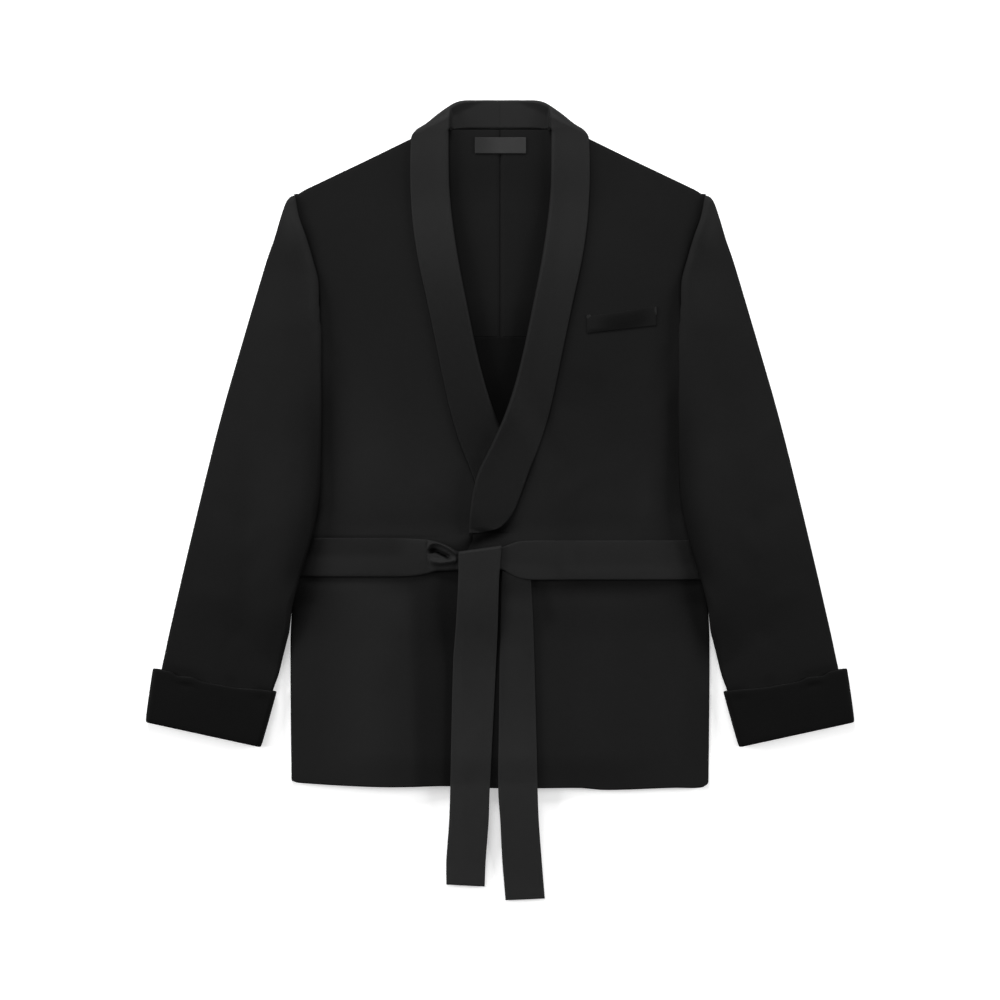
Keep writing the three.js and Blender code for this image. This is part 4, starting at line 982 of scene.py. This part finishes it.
def liningSheet(name, rows, left, right, sheet):
    # left and right are its edges, as shares of the lining's half width
    low, high = rows
    shares = stripShares(60, 2, 0.8, 0.8)[None, :]
    y = (stripSteps(high - low, 3, 1, 1) + low)[:, None] + 0 * shares
    x = mix(left * liningHalfWidth(y), right * liningHalfWidth(y), shares)
    fromLapel = liningHalfWidth(y) - liningForm["tuck"] - np.abs(x)
    # The yoke is darker towards its hem and the lower lining towards its foot, and both get painted shade
    # beside the lapels, which stand over them
    nearHem = -0.2 * ramp(y, 240, 190) if low == liningForm["yokeHemY"] else 0.2 * ramp(y, 110, 186)
    nap = nearHem - 0.42 * hump(np.maximum(fromLapel, 0), 0, 16) * ramp(y, 424, 340)
    return clothPiece("cloth_" + name, surface(x, y, liningFloor(x, y) + wall["lining"]), sheet, nap)


yokeRows = (liningForm["yokeHemY"], liningForm["topY"])
liningSheet("yoke_lining_left", yokeRows, 0, 1, liningForm["yoke"])
liningSheet("yoke_lining_right", yokeRows, 0, -1, liningForm["yoke"])
liningSheet("lower_lining", (liningForm["lowestY"], liningForm["yokeHemY"]), -1, 1, liningForm["lower"])

labelForm = {
    "left": -28.8,
    "right": 29.9,
    "low": 398.5,
    "high": 416.9,
    "stitch": 1.5,
    "thread": 0.4,
    "stitchInset": 0.9,
    "sheet": {"cloth": "labelCloth", "wall": wall["label"], "rim": (0.6, 0.6, 0.6, 0.6),
              "flat": (0.0587, 0.0184), "area": None, "held": "laid"},
}


def labelTop(x, y):
    return liningFloor(x, y, 0) + wall["lining"] + liningForm["gap"] + wall["label"]


def neckLabel():
    left, right, low, high = (labelForm[edge] for edge in ("left", "right", "low", "high"))
    stitch, thread, inset = (labelForm[name] for name in ("stitch", "thread", "stitchInset"))
    across, up = stripSteps(right - left, 2, 0.8, 0.8), stripSteps(high - low, 2, 0.8, 0.8)
    x, y = np.meshgrid(across + left, up + low)
    # The label is a little lighter, and darker towards its left end
    nap = 0.12 - 0.5 * ramp(x, 2, -26)
    points = surface(x, y, labelTop(x, y))
    spots = [(mix(left, right, share), edgeY, 0) for share in np.linspace(0.03, 0.97, 24)
             for edgeY in (low + inset, high - inset)]
    spots += [(edgeX, mix(low, high, share), math.pi / 2) for share in np.linspace(0.1, 0.9, 8)
              for edgeX in (left + inset, right - inset)]
    rows = [(x, y, float(labelTop(x, y)), angle, stitch, thread) for x, y, angle in spots]
    sewn = threads("label_stitches", rows)
    return clothPiece("cloth_neck_label", points, labelForm["sheet"], nap)


neckLabel()
print("linings and label laid")


# Breast welt

weltForm = {
    "inner": {"x": 100, "low": 191.5, "high": 211},
    "outer": {"x": 179.5, "low": 200.8, "high": 223.6},
    "puff": 1.3,
    "pressed": 0.72,
    "sheet": {"cloth": "velvetCloth", "wall": wall["welt"], "rim": (1, 1.2, 1, 1),
              "flat": (0.082, 0.021), "area": None, "held": "laid"},
    # tack at each end: place on the welt, stitches, their spacing, angle, length and thickness
    "innerTack": {"at": (0.02, 0.98), "count": 5, "apart": (0, 1.6), "angle": 0.1,
                  "length": 5.2, "thread": 0.8},
    "outerTack": {"at": (0.985, 0.76), "count": 4, "apart": (1.1, 0), "angle": math.pi / 2 + 0.04,
                  "length": 10.2, "thread": 0.75},
}


def weltPlace(u, v):
    # Point of the welt: u runs along it from its inner end, v up it
    low, high, x = (mix(weltForm["inner"][name], weltForm["outer"][name], u) for name in ("low", "high", "x"))
    y = mix(low, high, v)
    puff = weltForm["puff"] * hump(u, 0.54, 0.3) * np.sin(math.pi * np.clip(v, 0, 1)) ** 0.7
    return x, y, upperTop(x, y) + 0.1 + wall["welt"] + puff


def breastWelt():
    # Its ends are lighter, like the cloth around them, and it is darker in a lens between them that tapers
    # along the lower edge
    u, v = np.meshgrid(stripShares(80, 1.6, 1.2, 1.2), stripShares(21, 1.2, 1.2, 1.2))
    lens = np.exp(-(((u - 0.54) / 0.36) ** 4 + ((v - 0.48 - 0.1 * (u - 0.5)) / 0.50) ** 4))
    taper = np.exp(-((u - 0.22) / 0.24) ** 4) * ramp(v, 0.34, 0.12)
    nap = weltForm["pressed"] * (1 - np.maximum(lens, taper))
    rows = []
    for tack in (weltForm["innerTack"], weltForm["outerTack"]):
        x, y, z = weltPlace(*tack["at"])
        for share in np.linspace(-1, 1, tack["count"]):
            spot = (x + share * tack["apart"][0], y + share * tack["apart"][1], z + 0.1)
            rows.append((*spot, tack["angle"], tack["length"] - abs(share), tack["thread"]))
    sewn = threads("welt_tacks", rows)
    points = surface(*weltPlace(u, v))
    return clothPiece("cloth_breast_welt", points, weltForm["sheet"], nap)


breastWelt()
print("welt set")


# Belt

beltCloth = {"cloth": "facingCloth", "wall": wall["belt"]}
beltForm = {
    "width": 47.0,
    "sideX": 243.5,
    "turnHeight": 13.5,
    "turnRun": 10,
    "knotLevel": 17.8,
    "left": {"start": -19.7,
             "x": [-20, 2, 10, 20, 34, 60, 244], "high": [-58, -53, -50, -46.8, -45.6, -45.4, -45.4],
             "low": [-79, -79.5, -84, -88.6, -91, -91.2, -91.2],
             "sheet": {**beltCloth, "rim": (1.6, 1.6, 1.2, 1.2), "flat": (0.047, 0.29), "area": 0.0125,
                       "held": "folded"}},
    # The right stretch runs on into the knot without a rounded end
    "right": {"start": 84.0,
              "x": [84, 96, 112, 130, 244], "high": [-44.4, -43.6, -43, -42.8, -42.8],
              "low": [-84.2, -86.4, -87.6, -87.8, -87.8],
              "sheet": {**beltCloth, "rim": (1.6, 1.6, 0.04, 1.2), "flat": (0.047, 0.19), "area": None,
                        "held": "folded"}},
    "back": {"low": -89.5, "high": -42,
             "sheet": {**beltCloth, "rim": (1.6, 1.6, 1.2, 1.2), "flat": (0.475, 0.0475), "area": 0.0215,
                       "held": "laid"}},
}


def beltPadding(share):
    # The doubled cloth is fuller in the middle than at its edges
    return 0.5 * np.sin(math.pi * np.clip(share, 0, 1)) ** 0.6


def frontStretch(side):
    table = beltForm["left" if side > 0 else "right"]
    acrossShares = stripShares(beltForm["width"], 2.4, 1.6, 1.6)
    middleSteps = np.concatenate([[0, 0.0002, 0.002, 0.005], np.linspace(0.01, 1, 90)])
    rows = []
    for share in acrossShares:
        def yAt(x):
            return between(table, "x", ("low", "high"), x, share)

        def top(x, y):
            under = coverLevel(side * x, yAt(x))
            if side > 0:
                under = mix(under, beltForm["knotLevel"], ramp(x, 86, 44))
            return under + wall["belt"] + beltPadding(share)

        around = {"turn": np.ones(1), "run": float(beltForm["turnRun"]), "arcSteps": 14, "runSteps": 4,
                  "floor": lambda x, y: 0 * x}
        start, end = np.array([[table["start"], 0.0]]), np.array([[beltForm["sideX"], 0.0]])
        row = foldedRows(start, end, top, None, around, middleSteps)[0]
        row[:, 1] = yAt(row[:, 0])
        rows.append(row)
    points = sided(np.array(rows), side)
    x, across = np.abs(points[..., 0]), acrossShares[:, None]
    # Painted light and shade on the belt: darker over its upper part and at its edges, and painted shadow
    # where it runs under the sleeves; the right stretch is a little darker all over
    if side > 0:
        nap = -0.2 * ramp(across, 0.28, 0.5) - 0.06 * ramp(across, 0.9, 0.97) - 0.35 * ramp(x, 196, 226)
    else:
        upperPart = ramp(across, 0.45, 0.65) * (1 + 0.3 * ramp(across, 0.9, 0.98))
        pastKnot = ramp(x, 98, 125)
        edges = 0.30 * upperPart + 0.20 * ramp(across, 0.12, 0.02)
        nap = -0.19 - edges * pastKnot - 0.45 * ramp(x, 190, 222)
    return clothPiece(nameFor(side, "belt_front"), points, table["sheet"], nap)


def beltBack():
    back = beltForm["back"]
    halfWidth = beltForm["sideX"] - beltForm["turnHeight"] / 2 - beltForm["turnRun"] - seam
    x = stripSteps(2 * halfWidth, 6, 1.2, 1.2) - halfWidth
    y = stripSteps(back["high"] - back["low"], 3, 1.6, 1.6) + back["low"]
    x, y = np.meshgrid(x, y)
    return clothPiece("cloth_belt_back", surface(x, y, wall["belt"] + 0 * x), back["sheet"])


for side in (1, -1):
    frontStretch(side)
beltBack()

# Knot: the end of the wearer's right stretch, drawn in and rolled into a thin upper rim and a
# thicker lower rim with a hollow between them. Each rim and the hollow run along a line of points.
knotForm = {
    "start": -84,
    "x": [-84, -74, -61, -47, -20],
    "high": [-44.4, -46.2, -51, -58.2, -60],
    "low": [-84.2, -81.6, -80.8, -80.4, -79],
    "upperRim": {"x": [-96, -88, -84, -80, -74, -67, -61, -54, -47, -20],
                 "y": [-60, -57, -53.4, -50, -48.4, -49.6, -52.4, -57.4, -63, -64],
                 "height": 3.2, "width": 2.9},
    "lowerRim": {"x": [-96, -84, -79.4, -70, -60, -53, -47, -20],
                 "y": [-60, -63.5, -68.4, -70.8, -70, -68.4, -67.5, -68], "height": 3.4, "width": 3.3},
    "hollow": {"x": [-96, -83, -74, -66.5, -58, -47, -20],
               "y": [-59.6, -59, -57.6, -61, -64.8, -67, -68], "height": -5.8, "width": 2.5},
    "sheet": {**beltCloth, "rim": (0.04, 1.4, 1.6, 1.6), "flat": (0.065, 0.047), "area": 0.0021,
              "held": "folded"},
}


def knotFeature(name, x, y, fade):
    line = knotForm[name]
    return line["height"] * hump(y, curve(line, "x", "y", x), line["width"]) * fade


def beltKnot():
    startX = knotForm["start"]
    lengths = np.concatenate([[0, 0.04], np.arange(0.6, 63.6, 0.6), [63.8, 64]]) + startX
    shares = stripShares(40, 0.5, 1.6, 1.6)[None, :]
    x = lengths[:, None] + 0 * shares
    y = between(knotForm, "x", ("high", "low"), x, shares)
    level = mix(coverLevel(x, y), beltForm["knotLevel"], ramp(x, startX, -52))
    beforeTail = ramp(x, -47.5, -53)
    rims = knotFeature("upperRim", x, y, ramp(x, startX, -78) * beforeTail)
    rims = rims + knotFeature("lowerRim", x, y, ramp(x, startX, -75) * beforeTail)
    hollow = knotFeature("hollow", x, y, ramp(x, startX, -78) * ramp(x, -54, -61))
    drop = 3.0 * seamDip(np.minimum(shares, 1 - shares) * 38, 5) * ramp(x, startX, -66)
    z = level + rims + hollow - drop + wall["belt"] + beltPadding(shares)
    return clothPiece("cloth_belt_knot", surface(x, y, z), knotForm["sheet"], nap=-0.19)


beltKnot()

tailForm = {
    "upper": {"y": [-50, -90, -140, -185, -333, -368, -414, -444],
              "left": [-47.5, -48, -50.6, -54, -57.5, -58.7, -62, -62.1],
              "right": [2.3, -0.8, -2.3, -4.2, -11.5, -12.7, -16.1, -17.3],
              "top": (-58.2, -51.2), "end": (-442, -444.4),
              "sheet": {**beltCloth, "rim": (1.6, 1.6, 1.2, 1.6), "flat": (0.047, 0.42), "area": 0.0187,
                        "held": "laid"}},
    "lower": {"y": [-80, -90, -140, -250, -333, -368, -414, -459.4],
              "left": [2, 1, -0.2, -1.5, -2.3, 0, 2.3, 6],
              "right": [35, 35.5, 38.3, 41.4, 43.5, 44.9, 48.3, 52],
              "top": -80.0, "end": (-460.2, -458.2),
              "sheet": {**beltCloth, "rim": (1.2, 1.6, 1.6, 1.6), "flat": (0.045, 0.385), "area": 0.0165,
                        "held": "laid"}},
}
tailCreases = [
    (-30, -96, -22, -150, 0.5, 8), (-44, -150, -30, -210, 0.5, 9), (10, -110, 26, -170, 0.6, 8),
    (34, -150, 14, -230, 0.4, 9), (-20, -250, -48, -330, 0.5, 12), (20, -280, 38, -350, 0.4, 12),
]


def tailFloor(x, y):
    # The tails hang over the hem and come down to the surface in a long slope
    return coverLevel(x, np.maximum(y, -325)) * ramp(y, -470, -318)


def upperTail():
    # Comes from behind the knot, folds over it and hangs down
    rows = []
    table = tailForm["upper"]
    lengths = stripShares(390, 3, 3, 1.4)
    for share in stripShares(46, 2.4, 1.6, 1.6):
        def xAt(y):
            return between(table, "y", ("left", "right"), y, share)

        def top(_, y):
            overKnot = beltForm["knotLevel"] + wall["belt"] + lay
            form = beltPadding(share) + creases(tailCreases, xAt(y), y)
            return mix(tailFloor(xAt(y), y), overKnot, ramp(y, -200, -95)) + wall["belt"] + form

        behind = {"turn": np.ones(1), "run": 6.0, "arcSteps": 12, "runSteps": 3,
                  "floor": lambda _, y: coverLevel(xAt(y), y) + lay}
        start, end = (np.array([[0.0, mix(*table[name], share)]]) for name in ("top", "end"))
        row = foldedRows(start, end, top, behind, None, lengths)[0]
        row[:, 0] = xAt(row[:, 1])
        rows.append(row)
    points = np.array(rows)
    # Painted light: lighter towards its end
    nap = 0.1 * ramp(points[..., 1], -300, -400)
    return clothPiece("cloth_belt_tail_upper", points, table["sheet"], nap)


def lowerTail():
    table = tailForm["lower"]
    u, v = np.meshgrid(stripShares(44, 2.4, 1.6, 1.6), stripShares(378, 3, 1.4, 1.6))
    y = mix(table["top"], mix(*table["end"], u), v)
    x = between(table, "y", ("left", "right"), y, u)
    z = tailFloor(x, y) + wall["belt"] + beltPadding(u) + creases(tailCreases, x, y)
    # Painted shadow under the belt at its top and beside the upper tail along its left edge, and darker over
    # its upper part
    nap = -0.32 * ramp(y, -128, -101) - 0.12 * ramp(x, 12, 0) * ramp(y, -300, -200)
    nap = nap - 0.14 * ramp(y, -300, -150)
    return clothPiece("cloth_belt_tail_lower", surface(x, y, z), table["sheet"], nap)


upperTail()
lowerTail()
print("belt tied")


# Floor, light and camera

stage = {
    "pixel": 1.1475 * metre,  # size of one of the picture's pixels at the cloth
    "pictureSize": 1000,
    "centreY": 0.575 * metre,
    "clothHeight": 10 * metre,
    "lens": 85.0,
    "sensor": 36.0,
    "floorSize": 6.0,
    "floorLevel": 0.95,
    "floorGlow": 0.4,  # lit from below too, so that only a hint of shadow is left
    "worldLevel": 0.15,
    "lights": {
        "headLight": {"place": (-0.4, 2.8, 1.15), "size": 1.2, "power": 110.0},
        "leftLight": {"place": (-3.0, 0.3, 1.0), "size": 1.2, "power": 103.0},
        "rightLight": {"place": (3.0, 0.3, 1.0), "size": 1.2, "power": 94.0},
    },
}


def areaLight(name, place, size, power):
    light = bpy.data.lights.new(name, "AREA")
    light.shape, light.size, light.energy = "SQUARE", size, power
    lamp = link(name, light)
    lamp.location = place
    lamp.rotation_mode = "QUATERNION"
    toward = -lamp.location.copy()
    lamp.rotation_quaternion = toward.to_track_quat("-Z", "Y")
    return lamp


def setStage():
    half = stage["floorSize"] / 2
    corners = [(-half, -half, 0), (half, -half, 0), (half, half, 0), (-half, half, 0)]
    floorMesh = bpy.data.meshes.new("floor")
    floorMesh.from_pydata(corners, [], [(0, 1, 2, 3)])
    link("floor", floorMesh)
    paper = bpy.data.materials.new("paper")
    paper.use_nodes = True
    shader = paper.node_tree.nodes["Principled BSDF"]
    surfaceOf = {"Base Color": grey(stage["floorLevel"]), "Roughness": 0.9, "Specular IOR Level": 0.0,
                 "Emission Color": grey(1), "Emission Strength": stage["floorGlow"]}
    for name, value in surfaceOf.items():
        shader.inputs[name].default_value = value
    floorMesh.materials.append(paper)

    world = bpy.data.worlds.new("studio")
    world.use_nodes = True
    background = world.node_tree.nodes["Background"]
    background.inputs["Color"].default_value = (1, 1, 1, 1)
    background.inputs["Strength"].default_value = stage["worldLevel"]
    bpy.context.scene.world = world
    for name, lamp in stage["lights"].items():
        areaLight(name, lamp["place"], lamp["size"], lamp["power"])

    camera = bpy.data.cameras.new("camera")
    camera.lens, camera.sensor_width = stage["lens"], stage["sensor"]
    eye = link("camera", camera)
    distance = stage["pixel"] * stage["pictureSize"] * stage["lens"] / stage["sensor"]
    eye.location = (0, stage["centreY"], distance + stage["clothHeight"])
    bpy.context.scene.camera = eye
    bpy.context.scene.view_settings.view_transform = "Standard"


setStage()
print("stage set")
